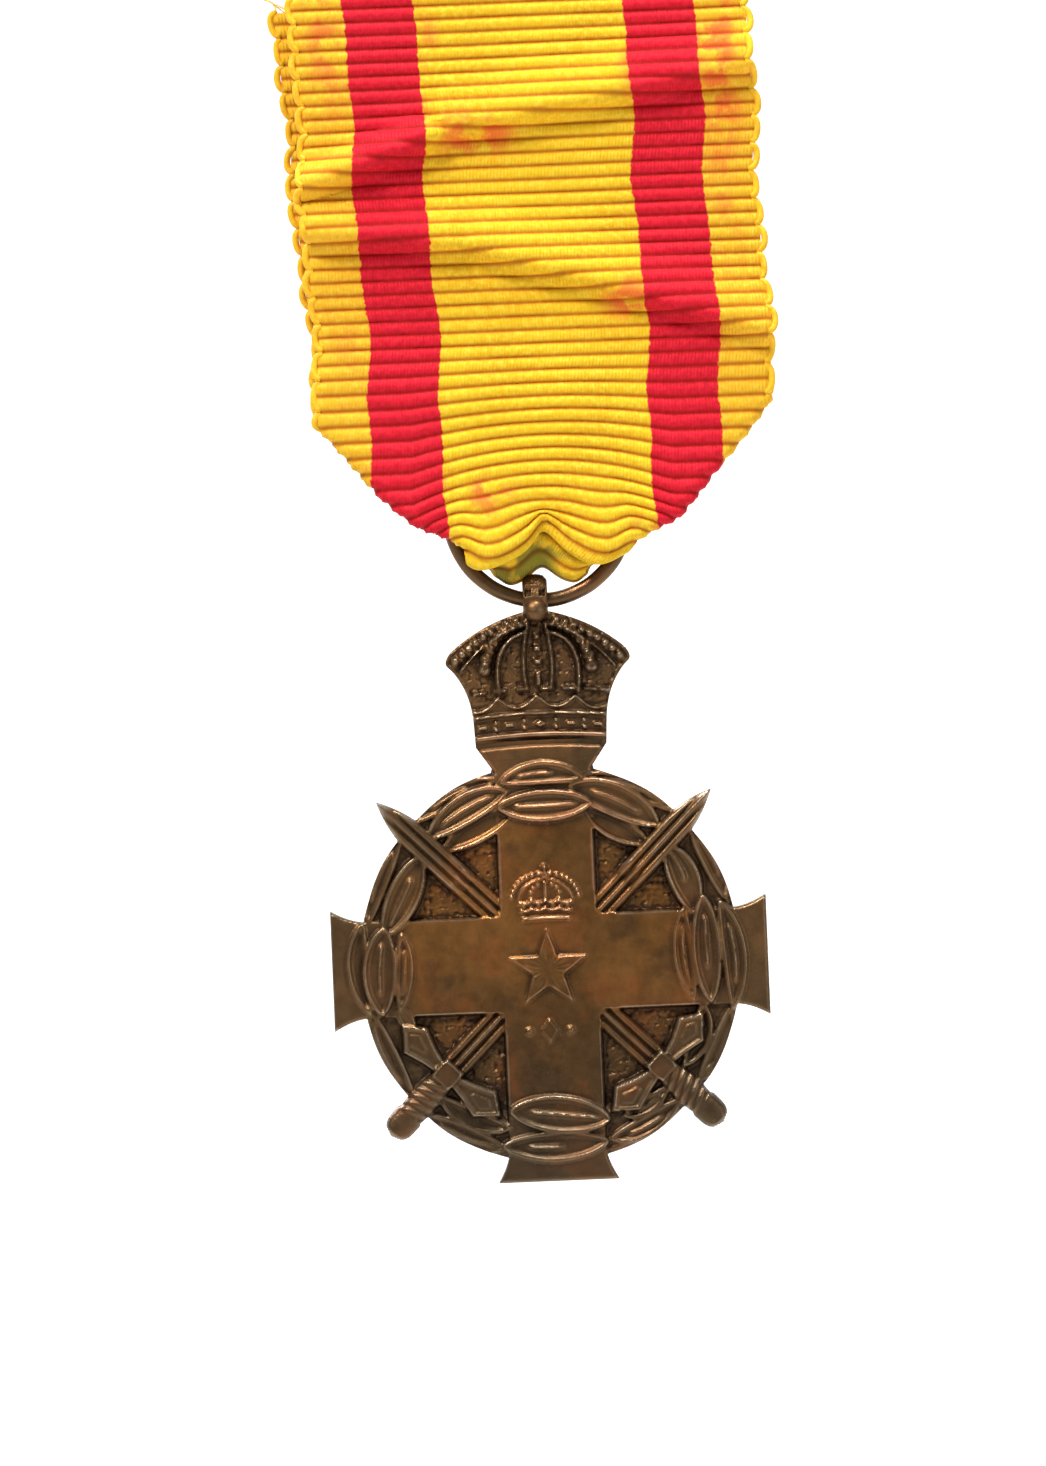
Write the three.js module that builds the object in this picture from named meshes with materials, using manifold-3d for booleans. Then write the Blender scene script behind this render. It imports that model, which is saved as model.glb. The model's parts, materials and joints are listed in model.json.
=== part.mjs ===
// A bronze service medal on a folded silk ribbon with a brooch bar.
// Millimetres. X is to the wearer's left, Z is up, and the obverse looks along -Y.
// The origin is on the rear face of the brooch bar, at its centre.

import * as THREE from 'three';
import * as BufferGeometryUtils from 'three/addons/utils/BufferGeometryUtils.js';
import Module from 'manifold-3d';

const wasm = await Module();
wasm.setup();

// ---- Driving dimensions ----

const GAP = 0.3;                     // room between pieces that must not touch
const OVERLAP = 0.1;                 // how far joined shapes run into each other

// Brooch bar. Its rear face lies in the plane y = 0.
const BAR = { width: 40, height: 9, thick: 0.9, corner: 1.2 };
const SEWING = { count: 7, pitch: 3, radius: 0.6, z: -3.2 };

// Ribbon. Two layers, with room between them for the ring's wire.
const RIBBON = { width: 38.4, thick: 0.7, inner: 0.95 };
const HANG_Y = -0.2;                 // the plane of ring and medal
const RIBBON_TOP = 5.6;
const HEM_DROP = 2.4;                  // the turn-over behind the bar
const REAR_END = -6.2;               // the cut end of the rear layer
const BEND_Z = -20;                  // the line on which the ribbon bends
const BEND_GAP = 0.8;
const CORNER_Z = -40.5;              // where the diagonal folds begin
const POINT = { half: 7.2, z: -52.5 };

// Suspension ring.
const RING = { radius: 7.6, wire: 0.625, z: -49.5 };
const RING_DROP = 10.4;
const RING_BOTTOM = RING.z - RING.radius;

// Medal, from its own centre.
const EYE_Z = 30.8;                  // the hole in the finial
const MEDAL_Z = RING_BOTTOM - EYE_Z;
const BACK_Y = 1.1;
const DISC = { radius: 16.3, front: -0.9 };
const ARM = { half: 4.1, front: -1.4, tip: 18.5, tipHalf: 5.2, flare: 2.6, ease: 0.2 };
const SWORD = { front: -1.2, over: -1.9, back: 0.9, blade: 1.2, tip: 20, taper: 3 };
const HILT = {
  guard: 12.6, half: 1, root: 1.6, wide: 4.6, flare: 1.5, reach: 5.9,
  grip: 1.1, wrist: 5, pommel: 19.5, cap: 1.4,
};
const WREATH = { front: -1.7, back: -0.2, inner: 12.6, rim: -1.3, stations: 12, overlap: 2.4 };
const LEAVES = [
  { radius: 15.2, turn: 0, length: 8.4, width: 2.6, lean: 6 },
  { radius: 13.2, turn: 15, length: 7.4, width: 2.4, lean: -6 },
];
const CROWN = { base: 18.5, half: 5.6, neck: 16.3, front: -1.4, relief: -2, back: 1.1 };
const CROWN_SIDE = {
  band: [5.65, 20.4], waist: [5.7, 23.2], flare: [7.1, 24.9], shoulder: [7.8, 25.8],
  brow: [7.2, 26.7], swell: [4.6, 28.9], summit: [1.3, 29.85],
};
const CENTRE_ARCH = { half: 0.9, bottom: 23, top: 29.4 };
const ARCHES = [
  { width: 0.9, from: [1.2, 29.4], over: [4.5, 28.4], to: [7, 26] },
  { width: 0.8, from: [1, 28.7], over: [4, 27.6], to: [3.4, 23.2] },
];
const BAND = { rims: [19.2, 21.3], rise: 0.3, fall: 0.2, width: 0.6 };
const DEVICE = { star: 3.6, waist: 1.4, points: 5, relief: 0.4 };
const FINIAL = { half: 1.05, eye: 1.6, hole: 0.95, foot: 29, shoulder: 32.2, top: 33.1, depth: 1.1 };
const ORB = { radius: 1, y: -1.3, z: 29.9 };

// Pin, its hinge and its catch, behind the bar.
const PIN = { x: -15.5, y: 2.4, z: -1.2, wire: 0.5, tip: 17.2, point: 4, sharp: 0.06, swell: 1.5 };
const EYE = { radius: 1.3, hole: 0.75, half: 0.45 };
const HINGE = { plate: 0.6, earGap: 0.8, end: 1.4, foot: 4.4, solder: 0.1 };
const RIVET = { radius: 0.45, head: 0.85, dome: 0.45 };
const CATCH = { x: 14.5, width: 3.6, plate: 0.6, mouth: 0.35, roof: 2.3, lip: 3.4, foot: -1.4 };
const THREAD = { radius: 0.22, stitches: 11, inset: 2.4, hem: [3.5, 4.8], end: [-8.8, -6.8] };

// ---- Materials ----

const bronze = new THREE.MeshStandardMaterial({ color: 0x5e3d24, roughness: 0.45, metalness: 0.85 });
const ringBronze = new THREE.MeshStandardMaterial({ color: 0x4a3a2a, roughness: 0.4, metalness: 0.85 });
const silk = new THREE.MeshStandardMaterial({ color: 0xe8bd2c, roughness: 0.6, metalness: 0 });
const brass = new THREE.MeshStandardMaterial({ color: 0xb08a45, roughness: 0.4, metalness: 0.9 });
const steel = new THREE.MeshStandardMaterial({ color: 0xb9bcc0, roughness: 0.3, metalness: 0.9 });
const cotton = new THREE.MeshStandardMaterial({ color: 0xe6d9a0, roughness: 0.9, metalness: 0 });

// ---- Helpers ----

const object = new THREE.Group();

function put(name, geometry, material) {
  const mesh = new THREE.Mesh(geometry, material);
  mesh.name = name;
  object.add(mesh);
  return mesh;
}

// A closed geometry as a solid that can be cut and joined.
function solid(geometry) {
  const bare = geometry.clone();
  bare.deleteAttribute('normal');
  bare.deleteAttribute('uv');
  const merged = BufferGeometryUtils.mergeVertices(bare, 1e-5);
  return new wasm.Manifold(new wasm.Mesh({
    numProp: 3,
    vertProperties: new Float32Array(merged.attributes.position.array),
    triVerts: new Uint32Array(merged.index.array),
  }));
}

function geometryOf(body) {
  const mesh = body.getMesh();
  const geometry = new THREE.BufferGeometry();
  geometry.setAttribute('position', new THREE.BufferAttribute(mesh.vertProperties, 3));
  geometry.setIndex(new THREE.BufferAttribute(mesh.triVerts, 1));
  geometry.computeVertexNormals();
  return geometry;
}

// A shape drawn in X and Z, given thickness between two Y values.
function plate(shape, front, back, curveSegments = 6) {
  const options = { depth: back - front, bevelEnabled: false, curveSegments };
  const geometry = new THREE.ExtrudeGeometry(shape, options);
  geometry.rotateX(Math.PI / 2);
  geometry.translate(0, back, 0);
  return geometry;
}

function outline(points) {
  return new THREE.Shape(points.map(([x, z]) => new THREE.Vector2(x, z)));
}

// The right half of a symmetric outline, from the bottom up, and its mirror image.
function mirrored(half) {
  const left = half.map(([x, z]) => [-x, z]).reverse();
  return outline([...half, ...left]);
}

function disc(radius) {
  return new THREE.Shape().absarc(0, 0, radius, 0, 2 * Math.PI);
}

function block(x0, x1, y0, y1, z0, z1) {
  const geometry = new THREE.BoxGeometry(x1 - x0, y1 - y0, z1 - z0);
  geometry.translate((x0 + x1) / 2, (y0 + y1) / 2, (z0 + z1) / 2);
  return geometry;
}

function roundedBar(width, height, corner) {
  const [w, h, r] = [width / 2, height / 2, corner];
  const shape = new THREE.Shape();
  shape.absarc(w - r, h - r, r, 0, Math.PI / 2);
  shape.absarc(-w + r, h - r, r, Math.PI / 2, Math.PI);
  shape.absarc(-w + r, -h + r, r, Math.PI, 1.5 * Math.PI);
  shape.absarc(w - r, -h + r, r, 1.5 * Math.PI, 2 * Math.PI);
  return shape;
}

// A round wire bent along straight runs through the given points.
function wireAlong(points, radius, steps) {
  const path = new THREE.CurvePath();
  for (let i = 1; i < points.length; i += 1) {
    path.add(new THREE.LineCurve3(points[i - 1], points[i]));
  }
  const options = { steps, extrudePath: path, bevelEnabled: false, curveSegments: 2 };
  return new THREE.ExtrudeGeometry(disc(radius), options);
}

// ---- Brooch bar with its row of sewing holes ----

function buildBar() {
  const shape = roundedBar(BAR.width, BAR.height, BAR.corner);
  const first = -(SEWING.count - 1) / 2 * SEWING.pitch;
  for (let i = 0; i < SEWING.count; i += 1) {
    const hole = new THREE.Path();
    hole.absarc(first + i * SEWING.pitch, SEWING.z, SEWING.radius, 0, 2 * Math.PI, true);
    shape.holes.push(hole);
  }
  put('brooch_bar', plate(shape, -BAR.thick, 0), brass);
}

// ---- Ribbon ----

const FRONT_FACE = HANG_Y - RIBBON.inner - RIBBON.thick;
const FRONT_INNER = HANG_Y - RIBBON.inner;
const REAR_INNER = HANG_Y + RIBBON.inner;
const REAR_FACE = REAR_INNER + RIBBON.thick;
const HALF = RIBBON.width / 2;
const HEM_Y = GAP;                   // inner face of the turn-over behind the bar

function buildUpperRibbon() {
  const bottom = BEND_Z + BEND_GAP;
  const hemBack = HEM_Y + RIBBON.thick;
  const panel = solid(block(-HALF, HALF, FRONT_FACE, FRONT_INNER, bottom, RIBBON_TOP));
  const roof = solid(block(-HALF, HALF, FRONT_FACE, hemBack, BAR.height / 2 + GAP, RIBBON_TOP));
  const hem = solid(block(-HALF, HALF, HEM_Y, hemBack, RIBBON_TOP - HEM_DROP, RIBBON_TOP));
  put('ribbon_front_upper', geometryOf(panel.add(roof).add(hem)), silk);
  put('ribbon_rear_upper', block(-HALF, HALF, REAR_INNER, REAR_FACE, bottom, REAR_END), silk);
}

// The folded point of the ribbon: straight sides, 45 degree folds, and a narrow neck.
function pointOutline(neckHalf, neckZ) {
  return mirrored([
    [neckHalf, neckZ],
    [POINT.half, POINT.z],
    [HALF, CORNER_Z],
    [HALF, BEND_Z - BEND_GAP],
  ]);
}

// The neck passes under the ring's top when the ring is all the way down, so its saddle
// is an arch round the ring's lowest centre.
const SADDLE = { half: 3, outer: RING.radius - RING.wire - 0.375, thick: 1, ease: 1.2 };
const SADDLE_CENTRE = RING.z - RING_DROP;

function arch(radius, x) {
  return SADDLE_CENTRE + Math.sqrt(radius * radius - x * x);
}

function buildLowerRibbon() {
  const neckZ = arch(SADDLE.outer, SADDLE.half) + GAP;
  const point = pointOutline(SADDLE.half + SADDLE.ease, neckZ + SADDLE.ease / 2);
  put('ribbon_front_lower', plate(point, FRONT_FACE, FRONT_INNER), silk);
  put('ribbon_rear_lower', plate(point, REAR_INNER, REAR_FACE), silk);
}

function buildBight() {
  const steps = 8;
  const upper = [];
  const lower = [];
  for (let i = 0; i <= steps; i += 1) {
    const x = SADDLE.half * (1 - 2 * i / steps);
    upper.push([x, arch(SADDLE.outer, x)]);
    lower.unshift([x, arch(SADDLE.outer - SADDLE.thick, x)]);
  }
  put('ribbon_bight', plate(outline([...upper, ...lower]), FRONT_FACE, REAR_FACE), silk);
}

// ---- Suspension ring ----

function buildRing() {
  const geometry = new THREE.TorusGeometry(RING.radius, RING.wire, 12, 64);
  geometry.rotateX(Math.PI / 2);
  geometry.translate(0, HANG_Y, RING.z);
  put('suspension_ring', geometry, ringBronze);
}

// ---- Medal ----

// One arm of the cross, pointing to +X, with its tip flared like a bell.
function armShape() {
  const start = ARM.tip - ARM.flare;
  const shape = new THREE.Shape();
  shape.moveTo(0, -ARM.half);
  shape.lineTo(start, -ARM.half);
  shape.quadraticCurveTo(start + ARM.flare / 2, -ARM.half - ARM.ease, ARM.tip, -ARM.tipHalf);
  shape.lineTo(ARM.tip, ARM.tipHalf);
  shape.quadraticCurveTo(start + ARM.flare / 2, ARM.half + ARM.ease, start, ARM.half);
  shape.lineTo(0, ARM.half);
  return shape;
}

function turned(geometry, degrees) {
  geometry.rotateY(-THREE.MathUtils.degToRad(degrees));
  return geometry;
}

function crossSolid() {
  const half = mirrored([[ARM.half, 0], [ARM.half, CROWN.neck], [CROWN.half, CROWN.base + OVERLAP]]);
  let cross = solid(plate(half, ARM.front, BACK_Y));
  for (const turn of [0, 180, 270]) {
    cross = cross.add(solid(turned(plate(armShape(), ARM.front, BACK_Y, 4), turn)));
  }
  return cross;
}

// Crown outline: upright band, concave flare to the shoulders, and two arches up to the orb.
function crownShape() {
  const side = new THREE.Path();
  side.moveTo(CROWN.half, CROWN.base);
  side.lineTo(...CROWN_SIDE.band);
  side.quadraticCurveTo(...CROWN_SIDE.waist, ...CROWN_SIDE.flare);
  side.lineTo(...CROWN_SIDE.shoulder);
  side.lineTo(...CROWN_SIDE.brow);
  side.quadraticCurveTo(...CROWN_SIDE.swell, ...CROWN_SIDE.summit);
  return mirrored(side.getPoints(6).map((point) => [point.x, point.y]));
}

// A raised strip of even width along a curve in X and Z.
function strip(curve, width, front, back, steps = 8) {
  const sides = [[], []];
  for (let i = 0; i <= steps; i += 1) {
    const point = curve.getPoint(i / steps);
    const along = curve.getTangent(i / steps);
    sides[0].push([point.x + along.y * width / 2, point.y - along.x * width / 2]);
    sides[1].unshift([point.x - along.y * width / 2, point.y + along.x * width / 2]);
  }
  return plate(outline([...sides[0], ...sides[1]]), front, back);
}

function arc(x0, z0, x1, z1, x2, z2) {
  return new THREE.QuadraticBezierCurve(
    new THREE.Vector2(x0, z0), new THREE.Vector2(x1, z1), new THREE.Vector2(x2, z2));
}

function crownSolid() {
  let crown = solid(plate(crownShape(), CROWN.front, CROWN.back));
  for (const side of [1, -1]) {
    for (const { width, from, over, to } of ARCHES) {
      const line = arc(side * from[0], from[1], side * over[0], over[1], side * to[0], to[1]);
      crown = crown.add(solid(strip(line, width, CROWN.relief, 0)));
    }
  }
  const centre = mirrored([[CENTRE_ARCH.half, CENTRE_ARCH.bottom], [CENTRE_ARCH.half, CENTRE_ARCH.top]]);
  crown = crown.add(solid(plate(centre, CROWN.relief, 0)));
  for (const z of BAND.rims) {
    const rim = arc(-CROWN.half, z - BAND.fall, 0, z + BAND.rise, CROWN.half, z - BAND.fall);
    crown = crown.add(solid(strip(rim, BAND.width, CROWN.relief, 0)));
  }
  return crown;
}

// The finial: an eye round the ring's wire, a small pillar above it and an orb in front.
function finialSolid() {
  const eye = new THREE.CylinderGeometry(FINIAL.eye, FINIAL.eye, 2 * FINIAL.half, 24);
  eye.rotateZ(Math.PI / 2);
  eye.translate(0, 0, EYE_Z);
  const neck = block(-FINIAL.half, FINIAL.half, -FINIAL.depth, FINIAL.depth, FINIAL.foot, FINIAL.shoulder);
  const top = new THREE.CylinderGeometry(FINIAL.half, FINIAL.half, 2 * FINIAL.depth, 16);
  top.translate(0, 0, FINIAL.top - FINIAL.half);
  const orb = new THREE.SphereGeometry(ORB.radius, 16, 8);
  orb.translate(0, ORB.y, ORB.z);
  const body = solid(eye).add(solid(neck)).add(solid(top));
  const hole = new THREE.CylinderGeometry(FINIAL.hole, FINIAL.hole, 4 * FINIAL.half, 24);
  hole.rotateZ(Math.PI / 2);
  hole.translate(0, 0, EYE_Z);
  return { body: body.add(solid(orb)), hole: solid(hole) };
}

// A blade along +X from the given start to its rounded point.
function bladeShape(start) {
  const b = SWORD.blade;
  const blade = new THREE.Shape();
  blade.moveTo(start, -b);
  blade.lineTo(SWORD.tip - SWORD.taper, -b);
  blade.quadraticCurveTo(SWORD.tip, -b * 0.7, SWORD.tip, 0);
  blade.quadraticCurveTo(SWORD.tip, b * 0.7, SWORD.tip - SWORD.taper, b);
  blade.lineTo(start, b);
  return blade;
}

// A sword along X. Its blade starts low, under the cross, and its two ends lie over the wreath.
function swordSolid() {
  const b = SWORD.blade;
  const g = -HILT.guard;
  const upper = [
    [g + HILT.half, b], [g + HILT.half, HILT.root],
    [g + HILT.flare, HILT.wide], [g, HILT.reach], [g - HILT.flare, HILT.wide], [g - HILT.half, HILT.root],
    [g - HILT.half, HILT.grip], [g - HILT.wrist, HILT.grip], [-HILT.pommel, HILT.cap],
  ];
  const lower = upper.map(([x, z]) => [x, -z]).reverse();
  const end = SWORD.tip - SWORD.taper;
  const low = solid(plate(outline([[g, -b], [end, -b], [end, b], [g, b]]), SWORD.front, 0));
  const high = solid(plate(bladeShape(WREATH.inner - WREATH.overlap), SWORD.over, SWORD.back));
  return low.add(high).add(solid(plate(outline([...upper, ...lower]), SWORD.over, SWORD.back)));
}

function crossedSwords() {
  const one = swordSolid();
  return one.rotate([0, -45, 0]).add(one.rotate([0, -135, 0]));
}

// A laurel leaf of the wreath, pointed at both ends, lying along a chord of the rim.
function leafSolid({ radius, length, width, lean }, at) {
  const curve = new THREE.Shape();
  curve.moveTo(-length / 2, 0);
  curve.quadraticCurveTo(0, -width, length / 2, 0);
  curve.quadraticCurveTo(0, width, -length / 2, 0);
  const leaf = plate(curve, WREATH.front, WREATH.back, 5);
  leaf.rotateY(-THREE.MathUtils.degToRad(at + 90 + lean));
  const angle = THREE.MathUtils.degToRad(at);
  leaf.translate(radius * Math.cos(angle), 0, radius * Math.sin(angle));
  return solid(leaf);
}

function wreathSolid() {
  const rim = new THREE.Shape().absarc(0, 0, DISC.radius, 0, 2 * Math.PI);
  const window = new THREE.Path().absarc(0, 0, WREATH.inner, 0, 2 * Math.PI, true);
  rim.holes.push(window);
  let wreath = solid(plate(rim, WREATH.rim, 0, 32));
  for (let i = 0; i < WREATH.stations; i += 1) {
    for (const leaf of LEAVES) {
      wreath = wreath.add(leafSolid(leaf, i * 360 / WREATH.stations + leaf.turn));
    }
  }
  return wreath;
}

// The device on the cross: a small crown over a plain five-pointed star.
function deviceSolid() {
  const star = [];
  for (let i = 0; i < 2 * DEVICE.points; i += 1) {
    const reach = i % 2 ? DEVICE.waist : DEVICE.star;
    const angle = Math.PI / 2 + i * Math.PI / DEVICE.points;
    star.push([reach * Math.cos(angle), reach * Math.sin(angle)]);
  }
  const small = mirrored([[2, 3.7], [2.2, 5], [2.7, 6.4], [1.3, 7.6], [0.3, 8.4]]);
  const relief = ARM.front - DEVICE.relief;
  return solid(plate(outline(star), relief, 0)).add(solid(plate(small, relief, 0)));
}

function buildMedal() {
  let medal = solid(plate(disc(DISC.radius), DISC.front, BACK_Y, 48));
  medal = medal.add(crossedSwords()).add(crossSolid()).add(wreathSolid());
  const finial = finialSolid();
  medal = medal.add(crownSolid()).add(deviceSolid()).add(finial.body).subtract(finial.hole);
  const mesh = put('medal', geometryOf(medal), bronze);
  mesh.position.set(0, HANG_Y, MEDAL_Z);
}

// ---- Pin, hinge and catch ----

function buildHinge() {
  const ear = new THREE.Shape();
  const reach = PIN.y - HINGE.solder - HINGE.plate;
  ear.moveTo(-HINGE.end, -reach);
  ear.lineTo(HINGE.end, -reach);
  ear.absarc(0, 0, HINGE.end, 0, Math.PI);
  const hole = new THREE.Path().absarc(0, 0, EYE.hole, 0, 2 * Math.PI, true);
  ear.holes.push(hole);
  const options = { depth: HINGE.plate, bevelEnabled: false, curveSegments: 10 };
  const ears = [HINGE.earGap, -HINGE.earGap - HINGE.plate].map((z) => {
    const geometry = new THREE.ExtrudeGeometry(ear, options);
    geometry.translate(PIN.x, PIN.y, PIN.z + z);
    return solid(geometry);
  });
  const rise = HINGE.earGap + HINGE.plate;
  const foot = block(
    PIN.x - HINGE.foot / 2, PIN.x + HINGE.foot / 2,
    HINGE.solder, HINGE.solder + HINGE.plate,
    PIN.z - rise, PIN.z + rise);
  put('hinge_bracket', geometryOf(solid(foot).add(ears[0]).add(ears[1])), brass);
}

function buildRivet() {
  const top = HINGE.earGap + HINGE.plate + GAP;
  const r = RIVET.radius;
  const profile = [
    [0, -top - RIVET.dome], [RIVET.head * 0.7, -top - RIVET.dome * 0.8], [RIVET.head, -top],
    [r, -top], [r, top],
    [RIVET.head, top], [RIVET.head * 0.7, top + RIVET.dome * 0.8], [0, top + RIVET.dome],
  ].map(([x, z]) => new THREE.Vector2(x, z));
  const geometry = new THREE.LatheGeometry(profile, 16);
  geometry.rotateX(Math.PI / 2);
  geometry.translate(PIN.x, PIN.y, PIN.z);
  put('hinge_rivet', geometry, brass);
}

function buildPin() {
  const eye = new THREE.Shape().absarc(0, 0, EYE.radius, 0, 2 * Math.PI);
  const hole = new THREE.Path().absarc(0, 0, EYE.hole, 0, 2 * Math.PI, true);
  eye.holes.push(hole);
  const options = { depth: 2 * EYE.half, bevelEnabled: false, curveSegments: 10 };
  const flat = new THREE.ExtrudeGeometry(eye, options);
  flat.translate(0, 0, -EYE.half);
  const length = PIN.tip - PIN.x;
  const start = (EYE.radius + EYE.hole) / 2;
  const profile = [
    [0, start], [PIN.wire * 0.9, start], [PIN.wire, start + PIN.swell],
    [PIN.wire, length - PIN.point], [PIN.sharp, length], [0, length],
  ].map(([x, z]) => new THREE.Vector2(x, z));
  const needle = new THREE.LatheGeometry(profile, 12);
  needle.rotateZ(-Math.PI / 2);
  const geometry = geometryOf(solid(flat).add(solid(needle)));
  geometry.translate(PIN.x, PIN.y, PIN.z);
  put('brooch_pin', geometry, steel);
}

// A folded hook. Its mouth is open downward, and the needle springs up into it.
function buildCatch() {
  const [x0, x1] = [CATCH.x - CATCH.width / 2, CATCH.x + CATCH.width / 2];
  const t = CATCH.plate;
  const inner = HINGE.solder + t;
  const top = CATCH.roof + t;
  const foot = solid(block(x0, x1, HINGE.solder, inner, CATCH.foot, top));
  const roof = solid(block(x0, x1, HINGE.solder, CATCH.lip + t, CATCH.roof, top));
  const lip = solid(block(x0, x1, CATCH.lip, CATCH.lip + t, CATCH.mouth, top));
  put('catch_hook', geometryOf(foot.add(roof).add(lip)), brass);
}

// ---- Sewing thread: a zigzag stitch lying on the cloth ----

function zigzag(y, [zLow, zHigh]) {
  const halfWidth = HALF - THREAD.inset;
  const points = [];
  for (let i = 0; i <= THREAD.stitches; i += 1) {
    const x = halfWidth * (2 * i / THREAD.stitches - 1);
    points.push(new THREE.Vector3(x, y, i % 2 ? zHigh : zLow));
  }
  return wireAlong(points, THREAD.radius, THREAD.stitches);
}

function buildThreads() {
  const hemY = HEM_Y + RIBBON.thick + GAP + THREAD.radius;
  put('hem_thread', zigzag(hemY, THREAD.hem), cotton);
  const endY = REAR_FACE + GAP + THREAD.radius;
  put('end_thread', zigzag(endY, THREAD.end), cotton);
}

buildBar();
buildUpperRibbon();
buildLowerRibbon();
buildBight();
buildRing();
buildMedal();
buildHinge();
buildRivet();
buildPin();
buildCatch();
buildThreads();

export default object;
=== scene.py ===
"""A bronze service medal on its folded silk ribbon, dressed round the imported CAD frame.

Shapes are worked out in millimetres and written to Blender in metres. X is to the right of the
obverse, Z is up and the obverse faces -Y.
"""

import json
import math

import bmesh
import bpy
import numpy as np
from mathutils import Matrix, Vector
from mathutils.geometry import delaunay_2d_cdt

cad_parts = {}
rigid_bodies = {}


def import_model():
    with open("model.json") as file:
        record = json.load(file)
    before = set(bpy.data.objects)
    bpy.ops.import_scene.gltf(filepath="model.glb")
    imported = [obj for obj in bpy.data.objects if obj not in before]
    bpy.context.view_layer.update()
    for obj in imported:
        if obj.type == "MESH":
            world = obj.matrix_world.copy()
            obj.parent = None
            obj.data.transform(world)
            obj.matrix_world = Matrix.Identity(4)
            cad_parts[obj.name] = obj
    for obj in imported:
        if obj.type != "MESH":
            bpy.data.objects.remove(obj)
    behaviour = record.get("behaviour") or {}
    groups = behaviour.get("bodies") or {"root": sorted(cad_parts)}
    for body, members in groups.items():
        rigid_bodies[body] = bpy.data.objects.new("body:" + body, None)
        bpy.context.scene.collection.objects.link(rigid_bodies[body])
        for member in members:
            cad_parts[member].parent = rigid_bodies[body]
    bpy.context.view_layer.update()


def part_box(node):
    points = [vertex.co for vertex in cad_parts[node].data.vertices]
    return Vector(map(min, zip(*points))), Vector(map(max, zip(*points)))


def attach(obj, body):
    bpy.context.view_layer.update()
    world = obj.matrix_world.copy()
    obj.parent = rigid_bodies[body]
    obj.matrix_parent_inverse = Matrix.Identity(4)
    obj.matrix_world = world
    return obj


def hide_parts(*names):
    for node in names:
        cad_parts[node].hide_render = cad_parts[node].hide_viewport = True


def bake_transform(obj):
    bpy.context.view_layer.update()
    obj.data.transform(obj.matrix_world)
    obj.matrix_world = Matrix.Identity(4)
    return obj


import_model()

MM = 0.001


def place(node):
    """A CAD node's lowest and highest corner, in millimetres."""
    low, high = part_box(node)
    return np.array(low) / MM, np.array(high) / MM


# ---- Places taken from the frame ----

RING_LOW, RING_HIGH = place("suspension_ring")
MEDAL_LOW = place("medal")[0]

RING_Z = (RING_LOW[2] + RING_HIGH[2]) / 2
RING_WIRE = (RING_HIGH[1] - RING_LOW[1]) / 2
RING_RADIUS = (RING_HIGH[0] - RING_LOW[0]) / 2 - RING_WIRE
HANG_Y = (RING_LOW[1] + RING_HIGH[1]) / 2
ARM_TIP = 18.5
MEDAL_Z = MEDAL_LOW[2] + ARM_TIP


# ---- Mesh helpers ----


def new_mesh(name, verts_mm, faces, sharp_angle=None):
    """A smooth-shaded object from points in millimetres."""
    mesh = bpy.data.meshes.new(name)
    mesh.from_pydata((np.asarray(verts_mm) * MM).tolist(), [], [list(map(int, f)) for f in faces])
    mesh.validate()
    mesh.update()
    mesh.shade_smooth()
    if sharp_angle is not None:
        mesh.set_sharp_from_angle(angle=math.radians(sharp_angle))
    piece = bpy.data.objects.new(name, mesh)
    bpy.context.scene.collection.objects.link(piece)
    return piece


def paint(piece, name, values):
    """Stores one number for each vertex, for the materials to read."""
    layer = piece.data.attributes.new(name, "FLOAT", "POINT")
    layer.data.foreach_set("value", np.asarray(values, dtype=np.float32).ravel())


def grid_faces(rows, columns, close_rows=False, close_columns=False):
    """Quads over a grid of points stored row by row."""
    faces = []
    for r in range(rows if close_rows else rows - 1):
        for c in range(columns if close_columns else columns - 1):
            r2, c2 = (r + 1) % rows, (c + 1) % columns
            faces.append((r * columns + c, r * columns + c2, r2 * columns + c2, r2 * columns + c))
    return faces


def smooth_step(low, high, value):
    """Rises smoothly from 0 to 1 as the value goes from low to high, or the other way round."""
    t = np.clip((value - low) / (high - low), 0, 1)
    return t * t * (3 - 2 * t)


def hump(distance, width):
    """1 where the distance is nought, falling smoothly to 0 on both sides."""
    return np.exp(-((distance / width) ** 2))


def disc(X, Z, x, z, radius):
    """Signed distance to a disc."""
    return np.hypot(X - x, Z - z) - radius


def oblong(X, Z, x, z, half_x, half_z):
    """Rough signed distance to an upright rectangle."""
    return np.maximum(np.abs(X - x) - half_x, np.abs(Z - z) - half_z)


def blur(field, sigma):
    """A Gaussian blur, sigma in cells, with the border held."""
    reach = max(1, int(math.ceil(3 * sigma)))
    weights = np.exp(-0.5 * (np.arange(-reach, reach + 1) / sigma) ** 2)
    weights /= weights.sum()
    for axis in (0, 1):
        padded = np.pad(field, [(reach, reach) if a == axis else (0, 0) for a in (0, 1)], mode="edge")
        total = np.zeros_like(field)
        for i, w in enumerate(weights):
            start = [slice(None), slice(None)]
            start[axis] = slice(i, i + field.shape[axis])
            total += w * padded[tuple(start)]
        field = total
    return field


def bezier(a, b, c, count):
    """Points on a quadratic curve."""
    t = np.linspace(0, 1, count)[:, None]
    a, b, c = (np.array(p, dtype=float) for p in (a, b, c))
    return (1 - t) ** 2 * a + 2 * t * (1 - t) * b + t * t * c


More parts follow.
